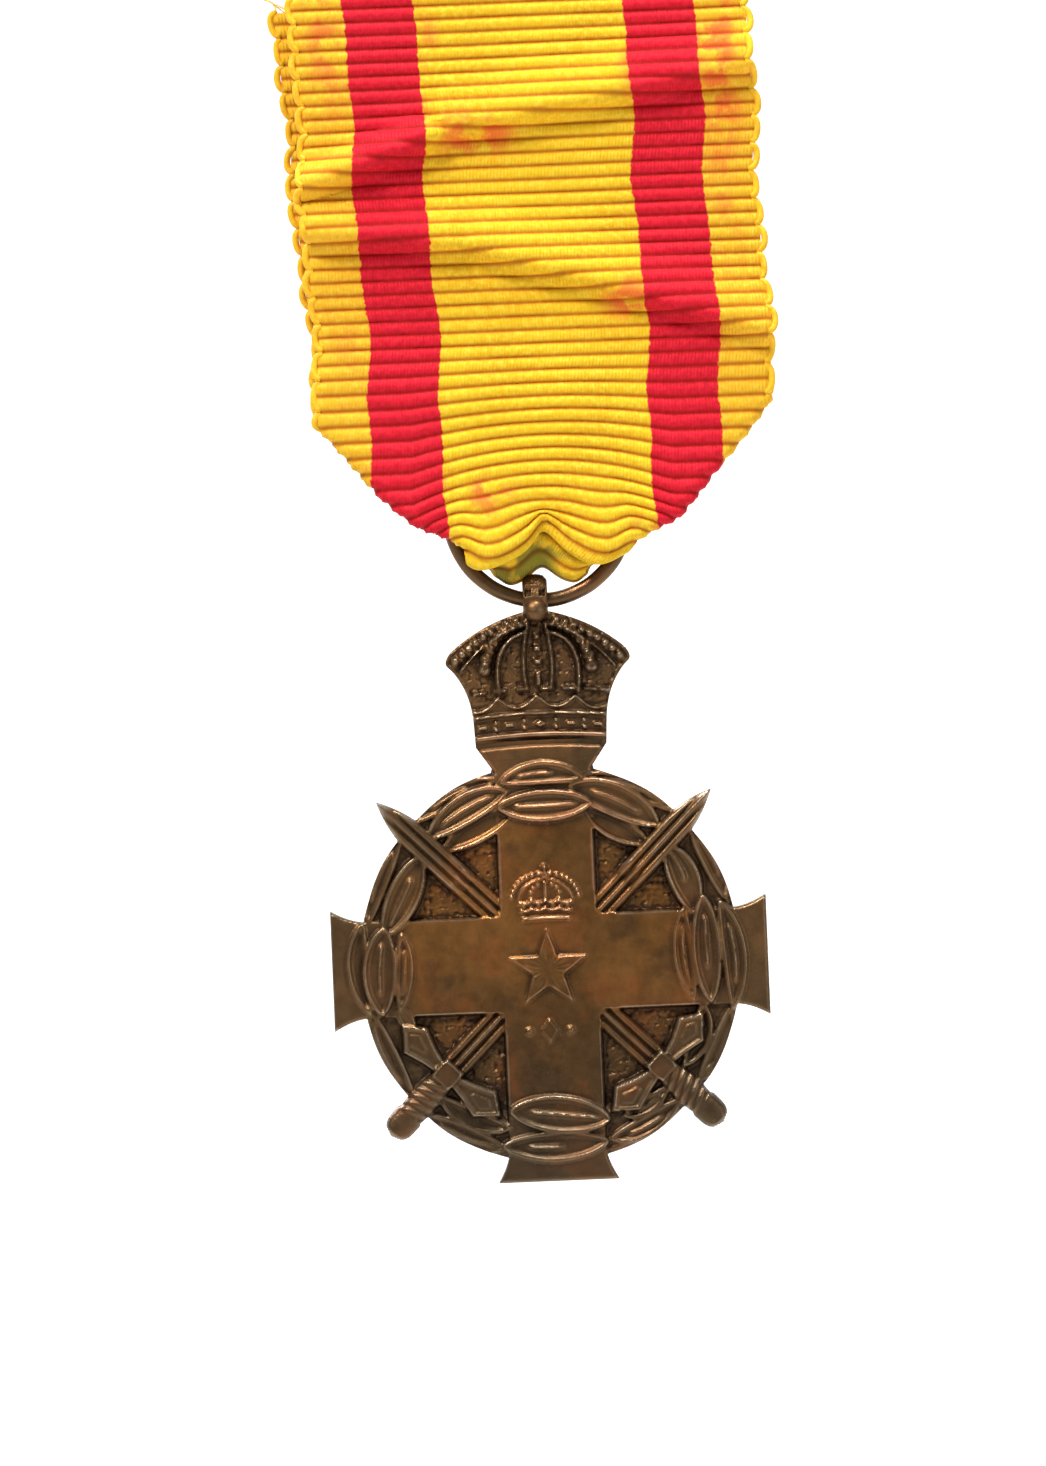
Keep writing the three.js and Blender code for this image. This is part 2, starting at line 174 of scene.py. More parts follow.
def along(X, Z, line):
    """Place along a polyline from 0 to 1, and signed distance to it, for every point."""
    best = np.full(X.shape, 1e9)
    u = np.zeros(X.shape)
    side = np.zeros(X.shape)
    for i in range(len(line) - 1):
        (ax, az), (bx, bz) = line[i], line[i + 1]
        dx, dz = bx - ax, bz - az
        length2 = dx * dx + dz * dz
        t = np.clip(((X - ax) * dx + (Z - az) * dz) / length2, 0, 1)
        far = np.hypot(X - ax - t * dx, Z - az - t * dz)
        near = far < best
        best = np.where(near, far, best)
        u = np.where(near, (i + t) / (len(line) - 1), u)
        side = np.where(near, np.sign(dx * (Z - az) - dz * (X - ax)), side)
    return u, side * best


def polygon_distance(X, Z, points):
    """Signed distance to a closed outline, negative inside."""
    best = np.full(X.shape, 1e9)
    inside = np.zeros(X.shape, dtype=bool)
    for (ax, az), (bx, bz) in zip(points, np.roll(points, -1, axis=0)):
        dx, dz = bx - ax, bz - az
        t = np.clip(((X - ax) * dx + (Z - az) * dz) / (dx * dx + dz * dz + 1e-12), 0, 1)
        best = np.minimum(best, np.hypot(X - ax - t * dx, Z - az - t * dz))
        crosses = (az > Z) != (bz > Z)
        reach = ax + (Z - az) * dx / (dz if dz else 1e-12)
        inside ^= crosses & (X < reach)
    return np.where(inside, -best, best)


def mirrored(half):
    """The right half of an outline, from the bottom up, joined to its mirror image."""
    half = np.array(half, dtype=float)
    return np.vstack([half, (half * [-1, 1])[::-1]])


# ---- Medal: outline ----

ARM_HALF = 4.1
ARM_FLARE = 2.6
TIP_HALF = 5.1
ARMS = (0, 180, 270)        # directions of the three plain arms, in degrees
SWORDS = (45, 135)          # directions of the two sword points
NECK_SEAM = 17.4            # height at which cross and crown are cut apart
NECK_HALF = 5.55
CROWN_BASE = 18.5
SWORD_TIP = 20.1
BLADE_TAPER = 4.6
BLADE_HALF = 1.2
SWORD_END = 19.9
GRIP_START = 13.6
POMMEL = 17.9
RIM_RADIUS = 16.62


def arm_outline():
    """One arm pointing to +X, its tip flared like a bell."""
    start = ARM_TIP - ARM_FLARE
    flare = bezier((start, -ARM_HALF), (start + 1.2, -ARM_HALF - 0.15), (ARM_TIP, -TIP_HALF), 8)
    lower = np.vstack([[(0, -ARM_HALF)], flare])
    return np.vstack([lower, (lower * [1, -1])[::-1]])


def top_arm_outline():
    """The upper arm, which widens into the crown's foot."""
    foot = [(NECK_HALF, CROWN_BASE), (NECK_HALF, CROWN_BASE + 0.6)]
    return mirrored([(ARM_HALF, 0), (ARM_HALF, 16.4)] + foot)


def crown_outline():
    """The crown's waisted sides, its shoulders and the slopes up to the finial."""
    side = bezier((5.65, 20.4), (5.75, 23.2), (7.3, 25.05), 12)
    shoulder = bezier((7.75, 25.5), (8.0, 25.85), (7.5, 26.5), 5)
    top = bezier((7.2, 26.8), (4.6, 29.0), (1.1, 29.85), 12)
    return mirrored(np.vstack([[(NECK_HALF, CROWN_BASE)], side, shoulder, top]))


def turned(X, Z, degrees):
    """The points as seen from a frame turned by that angle."""
    c, s = math.cos(math.radians(degrees)), math.sin(math.radians(degrees))
    return X * c + Z * s, -X * s + Z * c


def blade_half(a):
    """Half the blade's width at a distance from the medal's centre."""
    taper = np.clip((SWORD_TIP - a) / BLADE_TAPER, 0, 1)
    return BLADE_HALF * (1 - (1 - taper) ** 1.9)


def rim_radius(X, Z):
    """The wreath's outer edge is slightly taller than wide."""
    angle = np.arctan2(Z, X)
    return RIM_RADIUS - 0.38 * np.cos(2 * angle) + 0.06 * np.cos(12 * angle + 0.7)


def grip_half(a):
    """Half the width of grip and pommel at a distance from the medal's centre."""
    swell = np.sin(np.clip((a - GRIP_START) / 4.2, 0, 1) * math.pi)
    neck = 1.05 + 0.2 * swell + 0.2 * smooth_step(POMMEL - 0.5, POMMEL - 0.1, a)
    return neck * np.clip(1 - (np.clip(a - POMMEL, 0, 9) / (SWORD_END - POMMEL)) ** 4, 0, 1) ** 0.5


def sword_distance(X, Z, degrees):
    """Rough signed distance to a sword whose point lies at that angle."""
    a, b = turned(X, Z, degrees)
    blade = np.where(a > 0, np.maximum(np.abs(b) - blade_half(a), a - SWORD_TIP), 9)
    back = -a
    hilt = np.where(a < 0, np.maximum(np.abs(b) - grip_half(back), back - SWORD_END), 9)
    return np.minimum(blade, hilt)


def cross_distance(X, Z):
    """Signed distance to the four arms."""
    d = polygon_distance(X, Z, top_arm_outline())
    for turn in ARMS:
        d = np.minimum(d, polygon_distance(*turned(X, Z, turn), arm_outline()))
    return d


def body_distance(X, Z):
    """Signed distance to the whole medal's outline below the crown, negative inside."""
    d = np.minimum(np.hypot(X, Z) - rim_radius(X, Z), cross_distance(X, Z))
    for degrees in SWORDS:
        d = np.minimum(d, sword_distance(X, Z, degrees))
    return d


# ---- Medal: relief, as a height above the field for every point ----

FIELD_Y = -0.6              # the ground between the arms, measured from the ring's plane
PARTING_Y = 0.4             # where the obverse and reverse halves meet
REVERSE_Y = 0.82
ARM_LEVEL = 0.8             # height of the arms over the ground
GROUND_RADIUS = 13.1        # the pebbled ground ends and the wreath begins here
rng = np.random.default_rng(11)


def grain(shape, cells, sharp):
    """Seeded pebbling between -1 and 1."""
    noise = blur(rng.standard_normal(shape), cells)
    noise /= noise.std()
    return np.tanh(sharp * noise)


def shake(seed):
    """An even scatter between 0 and 1 that depends only on the number given."""
    return np.modf(np.abs(np.sin(seed)) * 437.58)[0]


def pebbles(X, Z, pitch):
    """A ground of small round pebbles, one in each cell of a shaken grid, between 0 and 1."""
    column, row = np.floor(X / pitch), np.floor(Z / pitch)
    nearest = np.full(X.shape, np.inf)
    for i in (-1, 0, 1):
        for j in (-1, 0, 1):
            a, b = column + i, row + j
            x = (a + 0.15 + 0.7 * shake(127.1 * a + 311.7 * b)) * pitch
            z = (b + 0.15 + 0.7 * shake(269.5 * a + 183.3 * b)) * pitch
            nearest = np.minimum(nearest, np.hypot(X - x, Z - z))
    return np.sqrt(np.clip(1 - (nearest / (0.68 * pitch)) ** 2, 0, 1))


# Leaves of the wreath, lowest first: root, middle and point of the curved axis, half width,
# height, and the stretch of the axis that carries the midrib.
LEAVES = [
    # outer leaves along the rim
    ((-3.9, 15.7), (-7.6, 15.3), (-10.9, 12.3), 0.95, 0.62, (0.35, 0.8)),
    ((3.0, 15.7), (7.6, 15.5), (11.2, 12.3), 0.95, 0.62, (0.35, 0.85)),
    ((-12.2, 11.0), (-14.9, 8.2), (-15.3, 3.9), 1.1, 0.62, (0.2, 0.75)),
    ((12.3, 10.9), (14.6, 8.6), (15.1, 4.7), 1.1, 0.62, (0.15, 0.7)),
    ((-15.3, -3.6), (-15.1, -7.4), (-12.0, -11.0), 1.25, 0.66, (0.1, 0.8)),
    ((15.1, -4.3), (14.9, -7.7), (12.1, -10.6), 1.05, 0.66, (0.75, 0.9)),
    ((-11.2, -12.3), (-8.3, -14.8), (-4.3, -15.6), 1.1, 0.62, (0.2, 0.9)),
    ((4.4, -15.1), (7.9, -14.7), (10.6, -11.9), 1.0, 0.62, (0.25, 0.7)),
    # inner leaves, partly under the others
    ((-2.6, 12.9), (-5.4, 12.1), (-8.8, 9.8), 1.25, 0.6, (0.9, 0.95)),
    ((3.4, 13.0), (5.6, 11.4), (8.9, 9.7), 1.15, 0.6, (0.9, 0.95)),
    ((-12.9, -3.0), (-12.7, -4.2), (-11.6, -5.3), 0.75, 0.6, (0.2, 0.8)),
    ((12.7, -3.8), (13.3, -6.8), (10.8, -9.3), 0.95, 0.66, (0.9, 0.95)),
    ((-9.9, -10.8), (-7.6, -13.5), (-3.7, -13.9), 0.95, 0.66, (0.9, 0.95)),
    ((5.6, -13.2), (7.8, -12.8), (9.6, -10.8), 0.8, 0.66, (0.3, 0.8)),
    # leaves flanking the side arms
    ((-15.7, 4.1), (-17.2, 0.4), (-15.3, -3.9), 1.0, 0.86, (0.9, 0.95)),
    ((-12.5, 3.1), (-12.1, 0), (-12.9, -3.6), 0.85, 0.86, (0.25, 0.8)),
    ((14.5, 4.8), (16.4, 0.4), (15.3, -4.6), 1.1, 0.86, (0.25, 0.75)),
    ((11.5, 4.4), (10.8, 0.2), (12.1, -3.7), 0.95, 0.86, (0.2, 0.85)),
    # top pieces
    ((-3.7, 15.4), (0, 16.9), (3.5, 15.5), 1.05, 0.86, (0.2, 0.6)),
    ((-3.0, 14.7), (-6.6, 14.0), (-10.0, 10.9), 1.35, 0.86, (0.2, 0.8)),
    ((2.1, 14.9), (6.4, 14.2), (9.7, 11.2), 1.5, 0.86, (0.25, 0.75)),
    ((-10.6, 9.6), (-12.0, 6.3), (-14.0, 2.8), 1.45, 0.86, (0.3, 0.85)),
    ((10.2, 9.6), (11.9, 7.2), (12.4, 3.6), 1.4, 0.86, (0.1, 0.55)),
    ((-13.9, 3.6), (-14.9, 0), (-14.3, -3.9), 1.5, 1.02, (0.2, 0.75)),
    ((13.2, 5.3), (13.2, 0.6), (13.5, -3.9), 1.3, 1.02, (0.2, 0.65)),
    # bottom pieces
    ((-4.7, -15.3), (0, -15.9), (4.4, -15.2), 1.35, 0.86, (0.25, 0.55)),
    # lens-shaped leaves over the ends of the upper and lower arms
    ((-4.0, 13.4), (0, 13.3), (4.1, 13.5), 1.4, 1.02, (0.2, 0.82)),
    ((-4.0, -12.4), (0.4, -12.8), (4.6, -13.4), 1.65, 1.02, (0.22, 0.88)),
]


def window(X, Z, points, reach):
    """The part of the grid near some points, as a pair of slices."""
    points = np.asarray(points)
    low, high = points.min(axis=0) - reach, points.max(axis=0) + reach
    columns = np.nonzero((X[0] >= low[0]) & (X[0] <= high[0]))[0]
    rows = np.nonzero((Z[:, 0] >= low[1]) & (Z[:, 0] <= high[1]))[0]
    return slice(rows[0], rows[-1] + 1), slice(columns[0], columns[-1] + 1)


def add_leaf(H, X, Z, root, middle, point, half, level, midrib):
    """A laurel leaf with a raised rim, a dished blade and a raised midrib."""
    line = bezier(root, middle, point, 24)
    part = window(X, Z, line, half + 0.3)
    u, d = along(X[part], Z[part], line)
    width = half * np.clip(4 * u * (1 - u), 0, 1) ** 0.62
    edge = width - np.abs(d)
    rim = 0.2 * hump(edge - 0.24, 0.2)
    dish = -0.17 * smooth_step(0.25, 0.75, edge)
    low, high = midrib
    rib_length = smooth_step(low - 0.05, low + 0.05, u) * (1 - smooth_step(high - 0.05, high + 0.05, u))
    rib = 0.32 * rib_length * hump(d, 0.2)
    height = level + rim + dish + rib + 0.1 * np.sin(u * math.pi)
    H[part] = np.where(edge > 0, np.maximum(height, H[part] - 0.25), H[part])


def blade_profile(b, half):
    """Two flat bands, two grooves and a sharp ridge between them."""
    flank = 1 - np.clip(np.abs(b) / np.maximum(half, 0.05), 0, 1) ** 6
    return 0.44 * flank - 0.34 * hump(np.abs(b) - 0.4, 0.15) + 0.1 * hump(b, 0.13)


def add_blade(H, X, Z, degrees, start, level):
    """A sword's blade from a distance along its axis to its point."""
    a, b = turned(X, Z, degrees)
    half = blade_half(a)
    inside = (a > start) & (a < SWORD_TIP) & (np.abs(b) < half)
    height = level + blade_profile(b, half)
    H[:] = np.where(inside, np.maximum(height, H - 0.4), H)


def quillon_outline(side):
    """One end of the guard, in the sword's frame, swept slightly towards the blade."""
    points = [(-0.55, 0.8), (-0.75, 2.2), (-1.2, 4.0), (0.5, 5.75), (1.8, 4.0), (1.0, 2.2), (0.6, 0.8)]
    return np.array([(x, side * z) for x, z in points])


def add_hilt(H, X, Z, degrees):
    """Guard with lozenge ends, plain block, twisted grip and plain pommel."""
    a, b = turned(X, Z, degrees + 180)
    guard, jewel_at = 12.87, 4.0
    for side in (-1, 1):
        outline = quillon_outline(side)
        d = polygon_distance(guard - a, -b, outline)
        rim = 0.22 * hump(d + 0.22, 0.17)
        middle = np.array([0.25, side * jewel_at])
        gem = polygon_distance(guard - a, -b, (outline - middle) * 0.42 + middle)
        jewel = 0.16 * smooth_step(0.1, -0.15, gem)
        H[:] = np.where(d < 0, 0.98 + rim + jewel, H)
    block = np.maximum(np.abs(a - guard), np.abs(b)) - 1.0
    H[:] = np.where(block < 0, 1.42 - 0.05 * smooth_step(-0.2, 0, block), H)
    half = grip_half(a)
    inside = (a > guard + 0.95) & (a < SWORD_END) & (np.abs(b) < half)
    across = np.clip(b / np.maximum(half, 1e-9), -1, 1)
    round_part = np.sqrt(np.clip(1 - across**2, 0, 1))
    twist = np.abs(np.sin(a * 4.3 + 1.5 * np.arcsin(across)))
    roped = smooth_step(POMMEL, POMMEL - 0.5, a)
    grip = 0.62 + 0.62 * round_part + roped * 0.34 * (twist**0.6 - 0.6)
    cap = smooth_step(SWORD_END, SWORD_END - 0.3, a)
    H[:] = np.where(inside, np.maximum(grip * (0.75 + 0.25 * cap), 0.3), H)


def star_outline(reach, waist):
    """A five-pointed star standing on two points."""
    angles = np.arange(10) * math.pi / 5 + math.pi / 2
    radii = np.where(np.arange(10) % 2, waist, reach)
    return np.stack([radii * np.cos(angles), radii * np.sin(angles)], axis=1)


def raise_shape(H, distance, height, slope=0.22):
    """Lifts the inside of a shape by a height, with sloping sides."""
    H += height * smooth_step(0.02, -slope, distance)


def add_device(H, X, Z):
    """A small crown over a five-pointed star, with a lozenge and two pellets below it."""
    d = polygon_distance(X + 0.2, Z + 0.5, star_outline(3.7, 1.5))
    angle = np.arctan2(X + 0.2, Z + 0.5)
    facet = np.abs(((angle / (math.pi / 5)) % 2) - 1)
    H += 0.42 * smooth_step(0.03, -0.16, d) * (0.7 + 0.6 * (0.5 - np.abs(facet - 0.5)))
    lozenge = np.abs(X + 0.25) / 0.9 + np.abs(Z + 5.7) / 1.25 - 1
    raise_shape(H, lozenge * 0.7, 0.26)
    for side in (-1, 1):
        raise_shape(H, disc(X, Z, side * 1.75 - 0.25, -5.7, 0.5), 0.28, 0.4)
    add_small_crown(H, X + 0.2, Z)


def add_small_crown(H, X, Z):
    """Three wavy base bands, beaded arches, and a ball and cross on top."""
    for z, half, thick in ((3.8, 2.1, 0.2), (4.5, 2.2, 0.15), (5.15, 2.35, 0.17)):
        wave = 0.08 * np.cos(X * 5.5) if z > 4 else 0
        d = np.maximum(np.abs(Z - z - 0.08 * (1 - (X / 2) ** 2) - wave) - thick, np.abs(X) - half)
        raise_shape(H, d, 0.32, 0.12)
    for i in range(-3, 4):
        raise_shape(H, disc(X, Z, i * 0.62, 4.86, 0.17), 0.22, 0.12)
    for side in (-1, 1):
        for x, z in bezier((side * 0.5, 7.65), (side * 2.5, 7.3), (side * 2.85, 5.75), 8):
            raise_shape(H, disc(X, Z, x, z, 0.24), 0.36, 0.18)
        arch = bezier((side * 0.3, 7.2), (side * 2.0, 6.8), (side * 2.3, 5.5), 7)
        add_line(H, X, Z, arch, 0.15, 0.26, 0.13)
        for x, z in bezier((side * 0.6, 6.7), (side * 1.35, 6.4), (side * 1.2, 5.5), 4):
            raise_shape(H, disc(X, Z, x, z, 0.22), 0.26, 0.16)
    raise_shape(H, oblong(X, Z, 0, 6.1, 0.24, 0.95), 0.28, 0.14)
    raise_shape(H, disc(X, Z, 0, 7.5, 0.42), 0.32, 0.22)
    for z, half_x, half_z in ((8.1, 0.17, 0.38), (8.15, 0.36, 0.16)):
        raise_shape(H, oblong(X, Z, 0, z, half_x, half_z), 0.28, 0.11)


def body_heights(X, Z):
    """The obverse's relief below the crown."""
    r = np.hypot(X, Z)
    ground = 0.21 * (blur(pebbles(X, Z, 0.5), 0.8) - 0.35)
    H = 0.03 * grain(X.shape, 2.3, 1) + ground * smooth_step(GROUND_RADIUS, GROUND_RADIUS - 0.5, r)
    H += 0.5 * smooth_step(12.9, 13.7, r)
    H += 0.14 * hump(body_distance(X, Z) + 0.34, 0.17) * smooth_step(13, 15, r)
    for degrees in SWORDS:
        add_blade(H, X, Z, degrees, -12, 0.24)
    arms = cross_distance(X, Z)
    unevenness = 0.02 * grain(X.shape, 18, 1)
    edge_line = 0.05 * hump(arms + 0.12, 0.09)
    H[:] = np.where(arms < 0, ARM_LEVEL + unevenness + edge_line, H)
    for leaf in LEAVES:
        add_leaf(H, X, Z, *leaf)
    for degrees in SWORDS:
        add_blade(H, X, Z, degrees, 9.4, 0.2 + 0.72 * smooth_step(9.2, 11.0, r))
        add_hilt(H, X, Z, degrees)
    add_device(H, X, Z)
    return H


# ---- Crown relief ----

BAND_ARCH = 0.3             # rise of the band's middle over its ends


def band_arch(X):
    """How much higher the band stands at a place than at its ends."""
    return BAND_ARCH * (1 - (X / 5.6) ** 2)


def add_bead(H, X, Z, x, z, radius, height):
    """A round bead."""
    d = np.hypot(X - x, Z - z) / radius
    H += height * np.sqrt(np.clip(1 - d * d, 0, 1))


def add_line(H, X, Z, line, half, height, slope=0.2):
    """A raised line along a polyline."""
    raise_shape(H, np.abs(along(X, Z, line)[1]) - half, height, slope)


def crown_heights(X, Z):
    """Arches, pearls, scalloped cap and jewelled band."""
    ground = 0.02 * grain(X.shape, 2.4, 1) + 0.18 * (blur(pebbles(X, Z, 0.45), 0.8) - 0.3)
    H = 0.2 + ground * smooth_step(22.0, 22.4, Z)
    outline = polygon_distance(X, Z, crown_outline())
    H += 0.26 * smooth_step(-0.34, -0.16, outline) * smooth_step(22.6, 23.6, Z)
    for side in (-1, 1):
        # outer arch: a row of square beads between the border and a rim
        outer = bezier((side * 1.0, 29.2), (side * 4.5, 28.3), (side * 7.0, 25.8), 14)
        add_line(H, X, Z, outer, 0.52, 0.24)
        rim = bezier((side * 0.9, 28.75), (side * 4.3, 27.9), (side * 6.5, 25.1), 14)
        add_line(H, X, Z, rim, 0.2, 0.42, 0.18)
        for x, z in bezier((side * 1.7, 29.05), (side * 4.7, 28.15), (side * 6.95, 25.9), 9):
            add_bead(H, X, Z, x, z, 0.36, 0.4)
        # inner arch, and the pearls that grow outward and down along it
        inner = bezier((side * 1.0, 28.1), (side * 4.0, 27.5), (side * 3.35, 23.0), 14)
        add_line(H, X, Z, inner, 0.3, 0.62, 0.26)
        pearls = bezier((side * 1.3, 28.75), (side * 4.0, 28.2), (side * 4.55, 25.1), 8)
        for i, (x, z) in enumerate(pearls):
            larger = 0.05 * i
            add_bead(H, X, Z, x, z, 0.28 + larger, 0.5 + larger)
        # central arch
        rib = bezier((side * 0.7, 28.9), (side * 1.5, 26.0), (side * 1.05, 23.5), 10)
        add_line(H, X, Z, rib, 0.26, 0.66, 0.24)
    for z, half in ((27.7, 0.36), (26.7, 0.42), (25.6, 0.44)):
        raise_shape(H, oblong(X, Z, 0, z, half, 0.36), 0.5, 0.3)
    raise_shape(H, oblong(X, Z, 0, 24.2, 0.3, 0.7), 0.45, 0.22)
    for x in (-5.0, -3.3, -1.35, 0.7, 2.55, 4.4, 5.7):
        raise_shape(H, oblong(X, Z + 0.01 * X * X, x, 23.3, 0.66, 0.24), 0.72, 0.22)
    add_scallops(H, X, Z)
    add_band(H, X, Z)
    return H


def add_scallops(H, X, Z):
    """The cap's lower edge hangs in four swags over a smooth strip."""
    pitch, depth = 3.3, 0.95
    phase = ((X + 0.2) / pitch) % 1
    edge = 22.75 - depth * np.sin(math.pi * phase) - 0.012 * X * X
    below = smooth_step(0.05, -0.1, Z - edge) * smooth_step(18.6, 19.0, Z)
    H += below * (0.34 - H) * 0.9
    d = np.abs(Z - edge) / np.sqrt(1 + (depth * math.pi / pitch * np.cos(math.pi * phase)) ** 2)
    raise_shape(H, np.maximum(d - 0.2, np.abs(X) - 6.2), 0.36, 0.2)


def add_band(H, X, Z):
    """Two raised rims, slightly arched, with a lozenge, oblong stones and pairs of pearls."""
    arch = band_arch(X)
    for z, half, height in ((20.95, 0.22, 0.42), (19.15, 0.3, 0.46)):
        raise_shape(H, np.abs(Z - z - arch) - half, height, 0.18)
    H -= 0.3 * hump(Z - 18.62 - arch, 0.16)
    raise_shape(H, np.abs(Z - 18.3 - arch) - 0.1, 0.14, 0.15)
    level = Z - 20.05 - arch
    raise_shape(H, (np.abs(X) / 0.72 + np.abs(level) / 0.42 - 1) * 0.4, 0.36, 0.2)
    for x in (-4.9, -2.6, 2.6, 4.9):
        raise_shape(H, oblong(X, level, x, 0, 0.45, 0.22), 0.3, 0.15)
    for x in (-3.75, -1.35, 1.35, 3.75):
        for lift in (-0.3, 0.3):
            add_bead(H, X, level, x, lift, 0.23, 0.3)


# ---- Relief meshes ----

CROSS_STEP, CROWN_STEP, REVERSE_STEP = 0.108, 0.08, 0.2
SOFTENING = 0.065           # reach of the blur that takes the sharpness off the relief
EDGE_DROP = 0.22            # how far the relief rounds off towards the outline
EDGE_WIDTH = 0.4
NUDGE = 0.02                # for slopes worked out from two places close together


def sample(X, Z, step, make):
    """Heights worked out on a grid twice as fine, softened, then thinned."""
    fine = step / 2
    xs = np.arange(X[0], X[1] + fine / 2, fine)
    zs = np.arange(Z[0], Z[1] + fine / 2, fine)
    GX, GZ = np.meshgrid(xs, zs)
    H = make(GX, GZ)
    H = blur(H, SOFTENING / fine)
    thin = (slice(None, None, 2), slice(None, None, 2))
    return GX[thin], GZ[thin], H[thin]


def relief_solid(X, Z, H, distance, outline, back, facing, base):
    """A closed solid: relief on the side that it faces, straight walls and a flat back.

    distance gives the signed distance to the outline. Points near the outline are moved onto it,
    so the silhouette is smooth. outline is the same without the seam where two solids meet, and
    it alone rounds the edge.
    """
    step = X[0, 1] - X[0, 0]
    D = distance(X, Z)
    gx = (distance(X + NUDGE, Z) - distance(X - NUDGE, Z)) / (2 * NUDGE)
    gz = (distance(X, Z + NUDGE) - distance(X, Z - NUDGE)) / (2 * NUDGE)
    size = np.maximum(gx * gx + gz * gz, 0.05)
    near = np.abs(D) < 0.75 * step
    PX = np.where(near, X - D * gx / size, X)
    PZ = np.where(near, Z - D * gz / size, Z)
    keep = (D < 0) | near
    quads = keep[:-1, :-1] & keep[1:, :-1] & keep[:-1, 1:] & keep[1:, 1:]
    edge_drop = EDGE_DROP * (1 - np.clip(-outline(X, Z) / EDGE_WIDTH, 0, 1)) ** 2
    Y = base + facing * (H - edge_drop)
    index = np.full(X.shape, -1)
    used = np.zeros(X.shape, dtype=bool)
    for dr in (0, 1):
        for dc in (0, 1):
            used[dr : dr + quads.shape[0], dc : dc + quads.shape[1]] |= quads
    index[used] = np.arange(used.sum())
    verts = np.stack([PX[used], Y[used], PZ[used]], axis=1)
    r, c = np.nonzero(quads)
    faces = np.stack([index[r, c], index[r, c + 1], index[r + 1, c + 1], index[r + 1, c]], axis=1)
    if facing > 0:
        faces = faces[:, ::-1]
    loops = boundary_loops(faces)
    verts, faces = [verts], [faces.tolist()]
    count = len(verts[0])
    for loop in loops:
        ring = verts[0][loop]
        previous = loop
        for share in (0.5, 1.0):
            level = ring.copy()
            level[:, 1] += share * (back - level[:, 1])
            verts.append(level)
            ids = np.arange(count, count + len(loop))
            count += len(loop)
            nxt = np.roll(np.arange(len(loop)), -1)
            side = np.stack([previous, ids, ids[nxt], previous[nxt]], axis=1)
            faces.append(side.tolist())
            previous = ids
        extra, cap = flat_cap(verts[-1], count - len(loop), count)
        verts.append(extra)
        count += len(extra)
        faces.append(cap)
    return np.vstack(verts), [f for group in faces for f in group], used


def flat_cap(level, first, spare):
    """Triangles that fill a flat loop, and any points that had to be added where it crosses itself."""
    points = [Vector((p[0], p[2])) for p in level]
    edges = [(i, (i + 1) % len(points)) for i in range(len(points))]
    out_points, _, out_faces, sources = delaunay_2d_cdt(points, edges, [], 1, 1e-6)[:4]
    index, extra = [], []
    for point, source in zip(out_points, sources):
        if source:
            index.append(first + source[0])
        else:
            index.append(spare + len(extra))
            extra.append((point[0], level[0, 1], point[1]))
    cap = [[index[i] for i in face] for face in out_faces]
    return np.array(extra).reshape(-1, 3), [face for face in cap if len(set(face)) == 3]


def boundary_loops(faces):
    """The closed border loops of a set of quads, in face order."""
    edges = np.concatenate([faces[:, [i, (i + 1) % 4]] for i in range(4)])
    big = int(faces.max()) + 1
    key = edges[:, 0].astype(np.int64) * big + edges[:, 1]
    back = edges[:, 1].astype(np.int64) * big + edges[:, 0]
    border = edges[~np.isin(key, back)]
    after = {}
    for a, b in border.tolist():
        after.setdefault(a, []).append(b)
    loops = []
    while after:
        start = next(iter(after))
        loop, here = [start], start
        while True:
            ways = after[here]
            onward = ways.pop()
            if not ways:
                del after[here]
            here = onward
            if here == start:
                break
            loop.append(here)
        if len(loop) > 12:
            loops.append(np.array(loop))
    return loops


def finish_relief(name, X, Z, H, distance, outline, facing=-1, base=FIELD_Y):
    """A relief solid in its place, with its hollows and edges painted on for the bronze to read."""
    verts, faces, used = relief_solid(X, Z, H, distance, outline, PARTING_Y, facing, base)
    verts = verts + [0, HANG_Y, MEDAL_Z]
    piece = outward(new_mesh(name, verts, faces, sharp_angle=50))
    step = X[0, 1] - X[0, 0]
    cavity = (H - blur(H, 0.45 / step)) / 0.25
    fine = (H - blur(H, 0.16 / step)) / 0.08
    rest = len(verts) - used.sum()
    paint(piece, "cavity", np.concatenate([cavity[used], np.zeros(rest)]))
    paint(piece, "edge", np.concatenate([fine[used], np.zeros(rest)]))
    return piece


def make_medal():
    """The obverse in two solids, cross and crown, over one reverse."""
    X, Z, H = sample((-20.2, 20.2), (-20.2, 17.6), CROSS_STEP, body_heights)

    def body(x, z):
        return np.maximum(body_distance(x, z), z - NECK_SEAM)

    cross = finish_relief("medal_cross", X, Z, H, body, body_distance)
    CX, CZ, CH = sample((-8.6, 8.6), (17.2, 30.4), CROWN_STEP, crown_relief)

    def crown_and_foot(x, z):
        foot = polygon_distance(x, z, top_arm_outline())
        return np.minimum(polygon_distance(x, z, crown_outline()), foot)

    def crown(x, z):
        return np.maximum(crown_and_foot(x, z), NECK_SEAM - z)

    top = finish_relief("medal_crown", CX, CZ, CH, crown, crown_and_foot)

    def whole(x, z):
        return np.minimum(body(x, z), crown(x, z))

    def back(x, z):
        return reverse_heights(x, z, whole)

    RX, RZ, RH = sample((-20.2, 20.2), (-20.2, 30.6), REVERSE_STEP, back)
    reverse = finish_relief("medal_reverse_face", RX, RZ, RH, whole, whole, facing=1, base=REVERSE_Y)
    return [cross, top, reverse]


